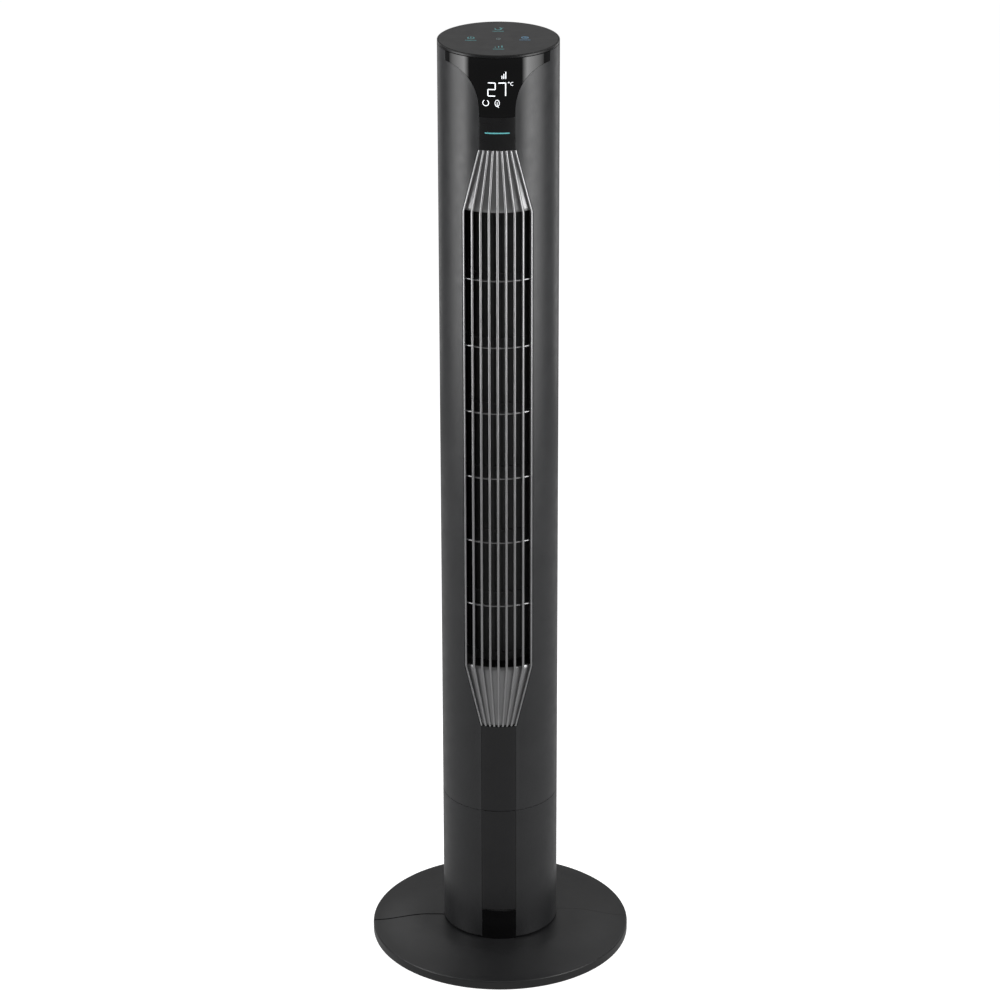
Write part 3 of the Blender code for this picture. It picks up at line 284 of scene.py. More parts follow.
def finish_mesh(name, builder):
    bmesh.ops.recalc_face_normals(builder, faces=builder.faces)
    mesh = bpy.data.meshes.new(name)
    builder.to_mesh(mesh)
    builder.free()
    return mesh


def lattice_mesh(name, cells, filled, place, ring=False):
    """A closed solid from a grid of cells: filled(i, j, k) says which cells are solid,
    place(i, j, k) gives a grid corner. With ring, the first direction closes on itself."""
    count_i, count_j, count_k = cells
    builder = bmesh.new()
    corners = {}

    def is_filled(i, j, k):
        if ring:
            i %= count_i
        inside = 0 <= i < count_i and 0 <= j < count_j and 0 <= k < count_k
        return inside and filled(i, j, k)

    def corner(i, j, k):
        key = (i % count_i if ring else i, j, k)
        if key not in corners:
            corners[key] = builder.verts.new(place(*key))
        return corners[key]

    steps = [(1, 0, 0), (-1, 0, 0), (0, 1, 0), (0, -1, 0), (0, 0, 1), (0, 0, -1)]
    loop = [(0, 0), (1, 0), (1, 1), (0, 1)]
    for i in range(count_i):
        for j in range(count_j):
            for k in range(count_k):
                if not is_filled(i, j, k):
                    continue
                for step in steps:
                    if is_filled(i + step[0], j + step[1], k + step[2]):
                        continue
                    axis = [abs(part) for part in step].index(1)
                    across = [other for other in range(3) if other != axis]
                    face = []
                    for first, second in loop:
                        index = [i, j, k]
                        index[axis] += max(step[axis], 0)
                        index[across[0]] += first
                        index[across[1]] += second
                        face.append(corner(*index))
                    builder.faces.new(face)
    return finish_mesh(name, builder)


def turned_mesh(name, profile, segments=96):
    """A solid of revolution about Z; the profile is a closed loop of (radius, z) points."""
    builder = bmesh.new()
    rings = []
    for radius, z in profile:
        if radius == 0:
            rings.append([builder.verts.new((0, 0, z))] * segments)
            continue
        turns = (2 * math.pi * index / segments for index in range(segments))
        rings.append([builder.verts.new((radius * math.cos(a), radius * math.sin(a), z)) for a in turns])
    for index, ring in enumerate(rings):
        following = rings[(index + 1) % len(rings)]
        for step in range(segments):
            after = (step + 1) % segments
            loop = [ring[step], ring[after], following[after], following[step]]
            unique = list(dict.fromkeys(loop))
            if len(unique) > 2:
                builder.faces.new(unique)
    return finish_mesh(name, builder)


def join_meshes(name, meshes):
    builder = bmesh.new()
    for mesh in meshes:
        builder.from_mesh(mesh)
    return finish_mesh(name, builder)


def new_object(name, data):
    """Put a mesh, a light or a camera in the scene."""
    added = bpy.data.objects.new(name, data)
    bpy.context.scene.collection.objects.link(added)
    return added


def add_piece(name, mesh, material, body, stands_for=(), bevel=0.0, segments=2):
    """Put a mesh in the scene as a piece that rides on a body and may stand for CAD nodes."""
    piece = new_object(name, mesh)
    mesh.materials.append(material)
    mesh.shade_smooth()
    mesh.set_sharp_from_angle(angle=math.radians(32))
    if bevel:
        rounding = piece.modifiers.new("rounding", "BEVEL")
        rounding.width = bevel
        rounding.segments = segments
        rounding.limit_method = "ANGLE"
        rounding.angle_limit = math.radians(32)
        rounding.use_clamp_overlap = True
        weighting = piece.modifiers.new("weighting", "WEIGHTED_NORMAL")
        weighting.keep_sharp = True
    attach(piece, body)
    if stands_for:
        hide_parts(*stands_for)
    return piece


def cut_holes(piece, cutter_meshes):
    """Cut closed shapes out of a piece, and leave only the result."""
    cutter = new_object(piece.name + "_cutter", join_meshes("cutter", cutter_meshes))
    cut = piece.modifiers.new("holes", "BOOLEAN")
    cut.solver = "EXACT"
    cut.object = cutter
    while piece.modifiers[0] != cut:
        bpy.context.view_layer.objects.active = piece
        bpy.ops.object.modifier_move_up(modifier=cut.name)
    bpy.context.view_layer.objects.active = piece
    bpy.ops.object.modifier_apply(modifier=cut.name)
    bpy.data.objects.remove(cutter, do_unlink=True)


# ---- symbols

def stroke(points, width, place, thickness=0.06 * MM):
    """A flat ribbon along a line of (u, v) points, lifted a little off its surface."""
    path = []
    step_length = 0.8 * MM
    for start, stop in zip(points, points[1:]):
        start = Vector(start)
        stop = Vector(stop)
        count = max(1, round((stop - start).length / step_length))
        path += [start.lerp(stop, index / count) for index in range(count)]
    closed = (Vector(points[0]) - Vector(points[-1])).length < 1e-7
    if not closed:
        path.append(Vector(points[-1]))
    builder = bmesh.new()
    rows = []
    for index, point in enumerate(path):
        before = path[index - 1] if closed or index else point
        after = path[(index + 1) % len(path)] if closed or index < len(path) - 1 else point
        along = (after - before).normalized()
        across = Vector((-along.y, along.x)) * width / 2
        row = []
        for side, height in ((1, 0), (1, thickness), (-1, thickness), (-1, 0)):
            spot = point + across * side
            row.append(builder.verts.new(place(spot.x, spot.y, height)))
        rows.append(row)
    pairs = list(zip(rows, rows[1:]))
    if closed:
        pairs.append((rows[-1], rows[0]))
    else:
        builder.faces.new(rows[0])
        builder.faces.new(rows[-1])
    for first, second in pairs:
        for index in range(4):
            after = (index + 1) % 4
            builder.faces.new([first[index], first[after], second[after], second[index]])
    return finish_mesh("stroke", builder)


def arc(middle, radius, start, stop, steps=20):
    """Points on a circle, from one angle in degrees to another."""
    angles = (math.radians(angle) for angle in spread(start, stop, steps))
    return [(middle[0] + radius * math.cos(a), middle[1] + radius * math.sin(a)) for a in angles]


SEGMENTS = {
    "top": ((0, 2), (1, 2)), "top_left": ((0, 1), (0, 2)), "top_right": ((1, 1), (1, 2)),
    "middle": ((0, 1), (1, 1)), "low_left": ((0, 0), (0, 1)), "low_right": ((1, 0), (1, 1)),
    "bottom": ((0, 0), (1, 0)),
}
DIGITS = {
    2: ("top", "top_right", "middle", "low_left", "bottom"),
    7: ("top", "top_right", "low_right"),
}


def digit_strokes(digit, left, bottom, width, height):
    """The lit bars of a seven-segment digit, each a little shorter than its side of the figure."""
    trim = 0.15 * MM
    lines = []
    for name in DIGITS[digit]:
        start, stop = (Vector((left + across * width, bottom + up * height / 2))
                       for across, up in SEGMENTS[name])
        inwards = (stop - start).normalized() * trim
        lines.append([start + inwards, stop - inwards])
    return lines


def leaf(middle, size):
    """A leaf with a stem: two arcs that meet at a tip, and a vein."""
    x, y = middle
    right = arc((x - size * 0.35, y), size * 0.72, -48, 48, 10)
    left = arc((x + size * 0.35, y), size * 0.72, 132, 228, 10)
    vein = [(x + size * 0.25, y - size * 0.78), (x, y - size * 0.5), (x, y + size * 0.2)]
    return [right + left + right[:1], vein]


def rising_bars(left, bottom, pitch, heights):
    return [[(left + index * pitch, bottom), (left + index * pitch, bottom + height)]
            for index, height in enumerate(heights)]


def add_symbols(name, lines, width, place, material):
    strokes = [stroke(points, width, place) for points in lines]
    add_piece(name, join_meshes(name, strokes), material, "tower")


def on_front(x, z, height):
    """A point on the front of the body, seen straight from the front."""
    radius = BODY_RADIUS + height
    return Vector((x, -math.sqrt(radius * radius - x * x), z))


def on_top(x, y, height):
    return Vector((x, y, TOTAL_HEIGHT + height))


def make_display(materials):
    """White figures and symbols lit behind the lens, and a plain printed mark on the panel under it that
    glows with painted light.
    """
    digits_top = 1038.8 * MM
    digits_bottom = 1024.6 * MM
    digit_width = 7.7 * MM
    bars_bottom = 1043.2 * MM
    degree_middle = (12.2 * MM, 1039.0 * MM)
    scale_middle = (15.8 * MM, 1037.4 * MM)
    symbols_middle = 1016.9 * MM
    mark_middle = 984 * MM
    mark_half = 13 * MM

    def add(name, lines, width):
        add_symbols("display_" + name, lines, width, on_front, materials["lit_white"])

    digit_height = digits_top - digits_bottom
    digits = digit_strokes(2, -9.6 * MM, digits_bottom, digit_width, digit_height)
    digits += digit_strokes(7, 1.2 * MM, digits_bottom, digit_width, digit_height)
    add("digits", digits, 1.1 * MM)
    add("bars", rising_bars(5.1 * MM, bars_bottom, 2.0 * MM, [3.4 * MM, 5.4 * MM, 7.6 * MM]), 0.85 * MM)
    ring = arc(degree_middle, 0.55 * MM, 0, 360, 12)
    add("degree", [ring, arc(scale_middle, 1.7 * MM, 55, 305, 12)], 0.5 * MM)
    add("turning", [arc((-11.9 * MM, symbols_middle), 3.1 * MM, 118, 422)], 0.75 * MM)
    add("mode", leaf((0.1 * MM, symbols_middle), 6.2 * MM), 0.6 * MM)

    mark = [[(-mark_half, mark_middle), (mark_half, mark_middle)]]
    # The mark is printed; its glow is painted light.
    add_symbols("panel_mark", mark, 1.3 * MM, on_front, materials["print_teal_painted_glow"])


def make_touch_symbols(materials):
    """Five plain printed touch symbols that glow with painted light, each but the middle one with a dash
    under it.
    """
    symbol = 3.4 * MM
    dash_half = 6 * MM
    dash_drop = 8.8 * MM
    spots = {"power": (-29, 1), "turning": (-1, 35), "mode": (0, -2), "timer": (28, 3), "speed": (1, -31)}
    places = {name: (x * MM, y * MM) for name, (x, y) in spots.items()}

    # Each symbol and dash is printed, and its glow is painted light.
    def add(name, lines, width, finish):
        x, y = places[name]
        if name != "mode":
            lines.append([(x - dash_half, y - dash_drop), (x + dash_half, y - dash_drop)])
        add_symbols("touch_" + name, lines, width, on_top, materials[finish])

    x, y = places["power"]
    bar = [(x, y + 0.5 * MM), (x, y + symbol * 1.4)]
    add("power", [arc((x, y), symbol, 120, 420), bar], 0.9 * MM, "print_teal_painted_glow")
    x, y = places["turning"]
    arrow = [(x + 1.2 * MM, y + 4.6 * MM), (x + 3.2 * MM, y + 1.6 * MM), (x + 5.2 * MM, y + 3.8 * MM)]
    add("turning", [arc((x, y), symbol, 150, 390), arrow], 0.9 * MM, "print_teal_painted_glow")
    add("mode", leaf(places["mode"], 5.5 * MM), 0.8 * MM, "print_grey_painted_glow")
    x, y = places["timer"]
    hands = [(x, y + symbol * 0.7), (x, y), (x + symbol * 0.55, y)]
    add("timer", [arc((x, y), symbol, 0, 360, 24), hands], 0.9 * MM, "print_blue_painted_glow")
    x, y = places["speed"]
    bars = rising_bars(x - 3.4 * MM, y - 3 * MM, 3.4 * MM, [2.2 * MM, 4.4 * MM, 6.6 * MM])
    add("speed", bars, 1.0 * MM, "print_teal_painted_glow")


# ---- tower shells

def with_edge_rows(heights):
    """Add a row close to each end of every stretch, so that an edge's wear stays at the edge."""
    rows = [heights[0]]
    for low, high in zip(heights, heights[1:]):
        rows += [low + EDGE_ROW, high - EDGE_ROW, high]
    return rows


def funnel_edge(z):
    """Half angle of the lens: narrow like the panel at its foot, then flaring into the band."""
    share = min(max((z - LENS_BOTTOM) / (BAND_BOTTOM - LENS_BOTTOM), 0), 1)
    flare = 1 - (1 - share ** 2.5) ** 0.43
    return PANEL_ANGLE + (BAND_ANGLE - PANEL_ANGLE) * flare


def front_edge(z):
    """Half angle of everything set into the front shell, from strip to lens band."""
    if z >= PANEL_BOTTOM:
        return funnel_edge(z)
    if z <= GRILLE_BOTTOM - 1.5 * GAP:
        return half_angle(STRIP_HALF_WIDTH, BODY_RADIUS)
    into_taper = max(OPEN_BOTTOM - z, z - OPEN_TOP, 0)
    share = min(into_taper / GRILLE_TAPER, 1)
    pitch = RIB_PITCH + (RIB_PITCH_END - RIB_PITCH) * share
    width = RIB_WIDTH + (RIB_WIDTH_END - RIB_WIDTH) * share
    return half_angle((RIB_COUNT // 2) * pitch + width / 2 + GAP, BODY_RADIUS)


def flare_heights():
    """Heights up the lens, closer together where its edge turns outwards."""
    span = BAND_BOTTOM - LENS_BOTTOM
    return [LENS_BOTTOM + span * (1 - (1 - share) ** 2.2) for share in spread(0, 1, 26)]


def make_front_shell(materials):
    side_edge = 90 - math.degrees(GAP / 2 / BODY_RADIUS)
    lip_start = 84
    lip_angle = 102
    middle_count = 48
    side_count = 18
    heights = [TOWER_BOTTOM, GRILLE_BOTTOM - 2 * GAP, GRILLE_BOTTOM - GAP]
    heights += spread(GRILLE_BOTTOM, OPEN_BOTTOM, 8)[1:]
    heights += spread(OPEN_TOP, GRILLE_TOP + GAP, 8)
    heights += [PANEL_BOTTOM] + flare_heights() + [SHELL_TOP]
    grille_rows = (heights.index(GRILLE_BOTTOM - GAP), heights.index(GRILLE_TOP + GAP))
    radii = [LIP_INNER, LIP_OUTER, BODY_INNER, SKIN_OUTER, BODY_RADIUS]
    lip_columns = 3
    first_middle = lip_columns + 1 + side_count
    columns = middle_count + 2 * first_middle

    def column_angle(i, z, radius):
        edge = half_angle(BODY_RADIUS * math.sin(math.radians(front_edge(z))), radius)
        from_side = min(i, columns - i)
        sign = -1 if i < columns / 2 else 1
        if from_side <= lip_columns:
            return sign * (lip_angle + (side_edge - lip_angle) * from_side / lip_columns)
        if from_side < first_middle:
            share = (from_side - lip_columns - 1) / side_count
            return sign * (lip_start + (edge - lip_start) * share)
        return edge * ((i - first_middle) * 2 / middle_count - 1)

    def filled(i, j, k):
        from_side = min(i, columns - 1 - i)
        if from_side < lip_columns:
            return k == 0
        if from_side == lip_columns:
            return True
        if from_side < first_middle:
            return k >= 2
        if grille_rows[0] <= j < grille_rows[1]:
            return False
        return k == 2

    def place(i, j, k):
        return around(column_angle(i, heights[j], radii[k]), radii[k], heights[j])

    mesh = lattice_mesh("shell_front", (columns, len(heights) - 1, 4), filled, place)
    add_piece("shell_front", mesh, materials["body_plastic"], "tower",
              ("front_shell",), bevel=0.25 * MM)


def make_rear_shell(materials):
    side_edge = 90 - math.degrees(GAP / 2 / BODY_RADIUS)
    window_low = low_of("rear_grille").z - GAP
    window_high = high_of("rear_grille").z + GAP
    window_edge = half_angle(high_of("rear_grille").x, BODY_RADIUS) + math.degrees(GAP / BODY_RADIUS)
    side_count = 14
    middle_count = 40
    angles = spread(-side_edge, -window_edge, side_count)
    angles += spread(-window_edge, window_edge, middle_count)[1:]
    angles += spread(window_edge, side_edge, side_count)[1:]
    heights = with_edge_rows([TOWER_BOTTOM, window_low, window_high, SHELL_TOP])
    radii = [BODY_INNER, BODY_RADIUS]

    def filled(i, j, k):
        beside_window = not side_count <= i < side_count + middle_count
        return beside_window or not window_low <= heights[j] < window_high

    mesh = lattice_mesh("shell_rear", (len(angles) - 1, len(heights) - 1, 1), filled,
                        lambda i, j, k: around(180 + angles[i], radii[k], heights[j]))
    shell = add_piece("shell_rear", mesh, materials["body_plastic"], "tower",
                      ("rear_shell",), bevel=0.25 * MM)
    cut_holes(shell, [shell_screw_hole("shell_screw_%d" % number) for number in range(1, 7)])


def shell_screw_hole(node):
    """The cutter of a screw's hole: wide round the head, narrow round the shank."""
    head_hole = 3.6 * MM
    head_seat = 1.6 * MM
    shank_hole = 1.8 * MM
    outside = -20 * MM
    inside = 6 * MM
    profile = [(0, outside), (head_hole, outside), (head_hole, head_seat), (shank_hole, head_seat)]
    profile += [(shank_hole, inside), (0, inside)]
    cutter = turned_mesh("screw_hole", profile, 32)
    cutter.transform(shell_screw_pose(node))
    return cutter


def middle_of(node):
    return (low_of(node) + high_of(node)) / 2


def angle_of(node):
    """The angle from the front, in degrees, at which a node's middle lies."""
    return math.degrees(math.atan2(middle_of(node).x, -middle_of(node).y))


def shell_screw_pose(node):
    """The turn and place of a shell screw's outer face, with +Z into the shell."""
    head_depth = 0.2 * MM
    angle = angle_of(node)
    head = around(angle, BODY_RADIUS - head_depth, middle_of(node).z)
    turn = Matrix.Rotation(math.radians(angle), 4, "Z") @ Matrix.Rotation(-math.pi / 2, 4, "X")
    return Matrix.Translation(head) @ turn


def make_rear_grille(materials):
    """Slots stacked one above the other in four columns, with narrow ribs between them."""
    low = low_of("rear_grille")
    high = high_of("rear_grille")
    edge = half_angle(high.x, BODY_RADIUS)
    web_half_angle = 1.4
    slot_columns = 4
    steps = 7
    slot_pitch = 8.7 * MM
    slot_height = 5.0 * MM
    margin = 4 * MM
    middles = spread(-edge + web_half_angle, edge - web_half_angle, slot_columns)
    angles = []
    solid_columns = []
    for index, middle in enumerate(middles):
        if index:
            angles += spread(middles[index - 1] + web_half_angle, middle - web_half_angle, steps)[1:-1]
        angles.append(middle - web_half_angle)
        solid_columns.append(len(angles) - 1)
        angles.append(middle + web_half_angle)
    count = int((high.z - low.z - 2 * margin) / slot_pitch)
    first = (low.z + high.z) / 2 - (count - 1) * slot_pitch / 2
    heights = [low.z]
    for number in range(count):
        middle = first + number * slot_pitch
        heights += [middle - slot_height / 2, middle + slot_height / 2]
    heights.append(high.z)
    radii = [BODY_INNER, BODY_RADIUS]

    def filled(i, j, k):
        return i in solid_columns or j % 2 == 0

    mesh = lattice_mesh("grille_rear", (len(angles) - 1, len(heights) - 1, 1), filled,
                        lambda i, j, k: around(180 + angles[i], radii[k], heights[j]))
    add_piece("grille_rear", mesh, materials["body_plastic"], "tower",
              ("rear_grille",), bevel=0.35 * MM, segments=1)


def rounded_steps(facets):
    """(place across, depth) of the corners of a half round, both as shares of its radius."""
    turns = [math.pi * facet / facets for facet in range(facets + 1)]
    return [(-math.cos(turn), 1 - math.sin(turn)) for turn in turns]


def make_front_grille(materials):
    """Nine upright ribs with round fronts that draw together at both ends, cross ribs, and a
    closed panel behind each end that rolls inwards where the open part begins."""
    roll = [0, 0.5 * MM, 1.3 * MM, 2.6 * MM, 4.4 * MM]
    roll_depth = 1.2 * MM
    panel_front = 3.4 * MM
    panel_fall = 1.4 * MM
    panel_thickness = 1.4 * MM
    cross_front = 3.2 * MM
    cross_back = 5.6 * MM
    rib_back = 7.5 * MM
    taper_rows = 8
    rib_steps = rounded_steps(10)
    cross_steps = rounded_steps(4)
    bay = (OPEN_TOP - OPEN_BOTTOM) / (CROSS_RIB_COUNT + 1)
    low_rows = spread(GRILLE_BOTTOM, OPEN_BOTTOM - roll[-1], taper_rows)
    low_rows += [OPEN_BOTTOM - z for z in roll[-2::-1]]
    heights = list(low_rows)
    cross_depth = {}
    for number in range(1, CROSS_RIB_COUNT + 1):
        for across, depth in cross_steps:
            cross_depth[len(heights)] = cross_front + depth * CROSS_RIB_HEIGHT / 2
            heights.append(OPEN_BOTTOM + number * bay + across * CROSS_RIB_HEIGHT / 2)
    heights += [GRILLE_BOTTOM + GRILLE_TOP - z for z in reversed(low_rows)]
    rows = len(heights) - 1
    panel_rows = len(low_rows) - 1
    columns = RIB_COUNT * len(rib_steps) - 1

    def filled(i, j, k):
        is_panel = j < panel_rows or j >= rows - panel_rows
        if i % len(rib_steps) < len(rib_steps) - 1:
            return k < 2 or not is_panel
        is_cross = j in cross_depth and heights[j + 1] - heights[j] < CROSS_RIB_HEIGHT
        return k == 1 and (is_panel or is_cross)

    def place(i, j, k):
        z = heights[j]
        into_taper = max(OPEN_BOTTOM - z, z - OPEN_TOP, 0)
        share = into_taper / GRILLE_TAPER
        pitch = RIB_PITCH + (RIB_PITCH_END - RIB_PITCH) * share
        width = RIB_WIDTH + (RIB_WIDTH_END - RIB_WIDTH) * share
        across, depth = rib_steps[i % len(rib_steps)]
        x = (i // len(rib_steps) - RIB_COUNT // 2) * pitch + across * width / 2
        rolled = roll_depth * max(1 - into_taper / roll[-1], 0) ** 2
        panel = panel_front + panel_fall * (1 - share) + rolled
        behind = (panel, panel + panel_thickness)
        if j in cross_depth:
            behind = (cross_depth[j], cross_back)
        depths = [depth * width / 2, *behind, rib_back]
        return Vector((x, depths[k] - math.sqrt(BODY_RADIUS ** 2 - x * x), z))

    mesh = lattice_mesh("grille_front", (columns, rows, 3), filled, place)
    add_piece("grille_front", mesh, materials["silver_grille"], "tower",
              ("front_grille",))


def inlay_mesh(name, half_width, bottom, top):
    edge = half_angle(half_width - GAP, BODY_RADIUS)
    angles = spread(-edge, edge, 24)
    heights = [bottom, top]
    radii = [INLAY_INNER, BODY_RADIUS]
    return lattice_mesh(name, (24, 1, 1), lambda i, j, k: True,
                        lambda i, j, k: around(angles[i], radii[k], heights[j]))


def make_inlays(materials):
    """The flush front pieces: strips, panel and window."""
    pieces = [("strip_tower", "front_strip", "tower", "strip_plastic"),
              ("strip_column", "column_strip", "stand", "strip_plastic"),
              ("window_column", "column_window", "stand", "gloss_black"),
              ("panel_front", "front_panel", "tower", "satin_black")]
    for name, node, body, finish in pieces:
        half_width = high_of(node).x + GAP
        mesh = inlay_mesh(name, half_width, low_of(node).z, high_of(node).z)
        add_piece(name, mesh, materials[finish], body, (node,), bevel=0.2 * MM)


def make_lens(materials):
    """The gloss lens: a funnel that flares into a band under the top."""
    count = 64
    clearance = 0.2 * MM
    foot_clearance = 0.05 * MM
    inset = math.degrees(clearance / BODY_RADIUS)
    heights = flare_heights()
    heights[0] += foot_clearance
    heights.append(high_of("display_lens").z)
    radii = [INLAY_INNER, BODY_RADIUS]

    def place(i, j, k):
        z = heights[j]
        lifted = z + clearance if 0 < j < len(heights) - 1 else z
        edge = funnel_edge(z) - inset
        return around(edge * (i * 2 / count - 1), radii[k], lifted)

    mesh = lattice_mesh("lens", (count, len(heights) - 1, 1), lambda i, j, k: True, place)
    add_piece("lens", mesh, materials["gloss_black"], "tower", ("display_lens",),
              bevel=0.15 * MM)


# ---- top

def make_top(materials):
    rim_low = SHELL_TOP + GAP
    rim_top = TOTAL_HEIGHT - 0.4 * MM
    seat = SHELL_TOP + 1.1 * MM
    inside = low_of("touch_panel").z - GAP
    rim_inner = BODY_RADIUS - 1.5 * MM
    plate_low = low_of("top_cover").z
    plate_edge = 59.6 * MM
    cover = [(0, plate_low), (plate_edge, plate_low), (plate_edge, rim_low), (BODY_RADIUS, rim_low)]
    cover += [(BODY_RADIUS, rim_top), (rim_inner, rim_top), (rim_inner, seat), (0, seat)]
    add_piece("cover_top", turned_mesh("cover_top", cover), materials["satin_black"], "tower",
              ("top_cover",), bevel=0.4 * MM, segments=3)
    edge = rim_inner - GAP
    panel = [(0, inside + GAP), (edge, inside + GAP), (edge, TOTAL_HEIGHT), (0, TOTAL_HEIGHT)]
    add_piece("panel_touch", turned_mesh("panel_touch", panel), materials["touch_panel"], "tower",
              ("touch_panel",), bevel=0.35 * MM, segments=3)


# ---- column and base

def make_column(materials):
    low = low_of("column_shell").z
    high = high_of("column_shell").z
    edge = half_angle(STRIP_HALF_WIDTH, BODY_RADIUS)
    front_steps = 24
    front = spread(-edge, edge, front_steps)
    angles = front + spread(edge, 360 - edge, 120)[1:-1]
    heights = with_edge_rows([low, high])
    radii = [BODY_INNER, SKIN_OUTER, BODY_RADIUS]
    mesh = lattice_mesh("column", (len(angles), len(heights) - 1, 2),
                        lambda i, j, k: k == 0 or i >= front_steps,
                        lambda i, j, k: around(angles[i], radii[k], heights[j]), ring=True)
    column = add_piece("column", mesh, materials["body_plastic"], "stand",
                       ("column_shell",), bevel=0.25 * MM)
    inlet_radius = 6.3 * MM
    inside = 50 * MM
    outside = 80 * MM
    hole = [(0, inside), (inlet_radius, inside), (inlet_radius, outside), (0, outside)]
    cut_holes(column, [inlet_mesh("inlet", hole)])
    make_grommet(materials, inlet_radius - GAP)


def inlet_mesh(name, profile):
    """A solid of revolution on the cord inlet's axis; heights count outwards from the middle."""
    mesh = turned_mesh(name, profile, 48)
    to_inlet = Matrix.Translation((0, 0, middle_of("cord_grommet").z))
    mesh.transform(to_inlet @ Matrix.Rotation(-math.pi / 2, 4, "X"))
    return mesh


def make_grommet(materials, neck):
    """A rubber bush with a flange on each side of the column's wall."""
    bore = 3.4 * MM
    inner_flange = 7.4 * MM
    outer_flange = 8.6 * MM
    outer_face = BODY_RADIUS + 0.6 * MM
    inner_face = 61.2 * MM
    inner_end = low_of("cord_grommet").y
    outer_end = high_of("cord_grommet").y
    profile = [(bore, inner_end), (inner_flange, inner_end), (inner_flange, inner_face), (neck, inner_face)]
    profile += [(neck, outer_face), (outer_flange, outer_face)]
    profile += [(outer_flange - 0.4 * MM, outer_end), (bore, outer_end)]
    add_piece("grommet", inlet_mesh("grommet", profile), materials["rubber"], "stand",
              ("cord_grommet",), bevel=0.5 * MM, segments=3)


BASE_CROWN = 19.3 * MM
BASE_SHOULDER = 11 * MM
CROWN_RADIUS = 84 * MM
SHOULDER_RADIUS = 145.2 * MM
SHOULDER_ROW = 19
BASE_SKIN = 2.5 * MM
BASE_UNDERSIDE = 3.3 * MM
RIM_BOTTOM = 0.8 * MM
SEAM_OFFSET = 8 * MM
SEAM_GROOVE = 0.9 * MM
GROOVE_DEPTH = 1.3 * MM
SEAM_CLOSED = 0.01 * MM
THINNEST = 0.4 * MM
PAD_INNER = 122.5 * MM
PAD_OUTER = 130.5 * MM
PAD_HALF_SPAN = 11
PAD_SEAT = (120 * MM, 131 * MM)


def base_profile():
    """(radius, top height) from the middle outwards: flat, an S-shaped fall, then a round edge."""
    rows = [(22 * MM, BASE_CROWN), (56 * MM, BASE_CROWN), (60 * MM, BASE_CROWN)]
    for radius in spread(CROWN_RADIUS, SHOULDER_RADIUS, SHOULDER_ROW - len(rows)):
        share = (radius - CROWN_RADIUS) / (SHOULDER_RADIUS - CROWN_RADIUS)
        eased = share * share * (3 - 2 * share)
        rows.append((radius, BASE_CROWN + (BASE_SHOULDER - BASE_CROWN) * eased))
    edge_radius = BASE_RADIUS - SHOULDER_RADIUS
    for angle in spread(0, 90, 8)[1:]:
        turn = math.radians(angle)
        radius = SHOULDER_RADIUS + edge_radius * math.sin(turn)
        rows.append((radius, BASE_SHOULDER - edge_radius * (1 - math.cos(turn))))
    return rows


def seam_angles(radius, inset):
    """The angles of a half's two ends: the left and right seams lie the same step off the middle."""
    right = 90 + math.degrees(math.asin((SEAM_OFFSET - inset) / radius))
    left = -90 + math.degrees(math.asin((SEAM_OFFSET + inset) / radius))
    return left, right


def base_half_mesh(name, groove_at_end):
    """The front half of the base, hollow from below. At one end of it, the first or the last, the
    upper faces stop short of the seam and leave a groove."""
    rows = base_profile()
    columns = 72
    grooved_column = columns - 1 if groove_at_end else 0
    inner_wall_row = 1
    pad_rows = [index for index, row in enumerate(rows) if PAD_SEAT[0] < row[0] < PAD_SEAT[1]]
    rim_rows = list(range(SHOULDER_ROW, len(rows)))

    def filled(i, j, k):
        if k == 2:
            return i != grooved_column
        return k == 1 or j == inner_wall_row or j in pad_rows[:-1] or j in rim_rows

    def place(i, j, k):
        radius, top = rows[j]
        ends = seam_angles(radius, GAP / 2 if k >= 2 else SEAM_CLOSED)
        left, right = seam_angles(radius, GAP / 2 + SEAM_GROOVE)
        if i in (0, columns):
            angle = ends[1] if i else ends[0]
        else:
            angle = left + (right - left) * (i - 1) / (columns - 2)
        bottom = RIM_BOTTOM if j in rim_rows else BASE_UNDERSIDE
        inside = max(top - BASE_SKIN, bottom + THINNEST)
        groove = max(top - GROOVE_DEPTH, inside + THINNEST / 2)
        return around(angle, radius, [bottom, inside, groove, top][k])

    return lattice_mesh(name, (columns, len(rows) - 1, 3), filled, place)


def base_screw_hole(node):
    radius = 2.3 * MM
    below = 5 * MM
    above = 30 * MM
    hole = turned_mesh("hole", [(0, below), (radius, below), (radius, above), (0, above)], 24)
    hole.transform(Matrix.Translation((middle_of(node).x, middle_of(node).y, 0)))
    return hole


def make_base(materials):
    """Two equal halves that meet under a hairline gap, with a groove along the left seam only."""
    screws = ["base_screw_%d" % number for number in range(1, 5)]
    halves = [("base_front", "base_front_half", 0, False), ("base_rear", "base_rear_half", math.pi, True)]
    for name, node, turn, groove_at_end in halves:
        mesh = base_half_mesh(name, groove_at_end)
        mesh.transform(Matrix.Rotation(turn, 4, "Z"))
        half = add_piece(name, mesh, materials["base_plastic"], "stand", (node,),
                         bevel=0.3 * MM)
        side = 1 if turn else -1
        cut_holes(half, [base_screw_hole(screw) for screw in screws if middle_of(screw).y * side > 0])


def make_pads(materials):
    for number in range(1, 5):
        node = "foot_pad_%d" % number
        middle = angle_of(node)
        angles = spread(middle - PAD_HALF_SPAN, middle + PAD_HALF_SPAN, 12)
        radii = [PAD_INNER, PAD_OUTER]
        heights = [0, high_of(node).z]
        mesh = lattice_mesh("pad_%d" % number, (12, 1, 1), lambda i, j, k: True,
                            lambda i, j, k: around(angles[i], radii[j], heights[k]))
        add_piece("pad_%d" % number, mesh, materials["rubber"], "stand", (node,),
                  bevel=0.6 * MM, segments=3)


# ---- screws

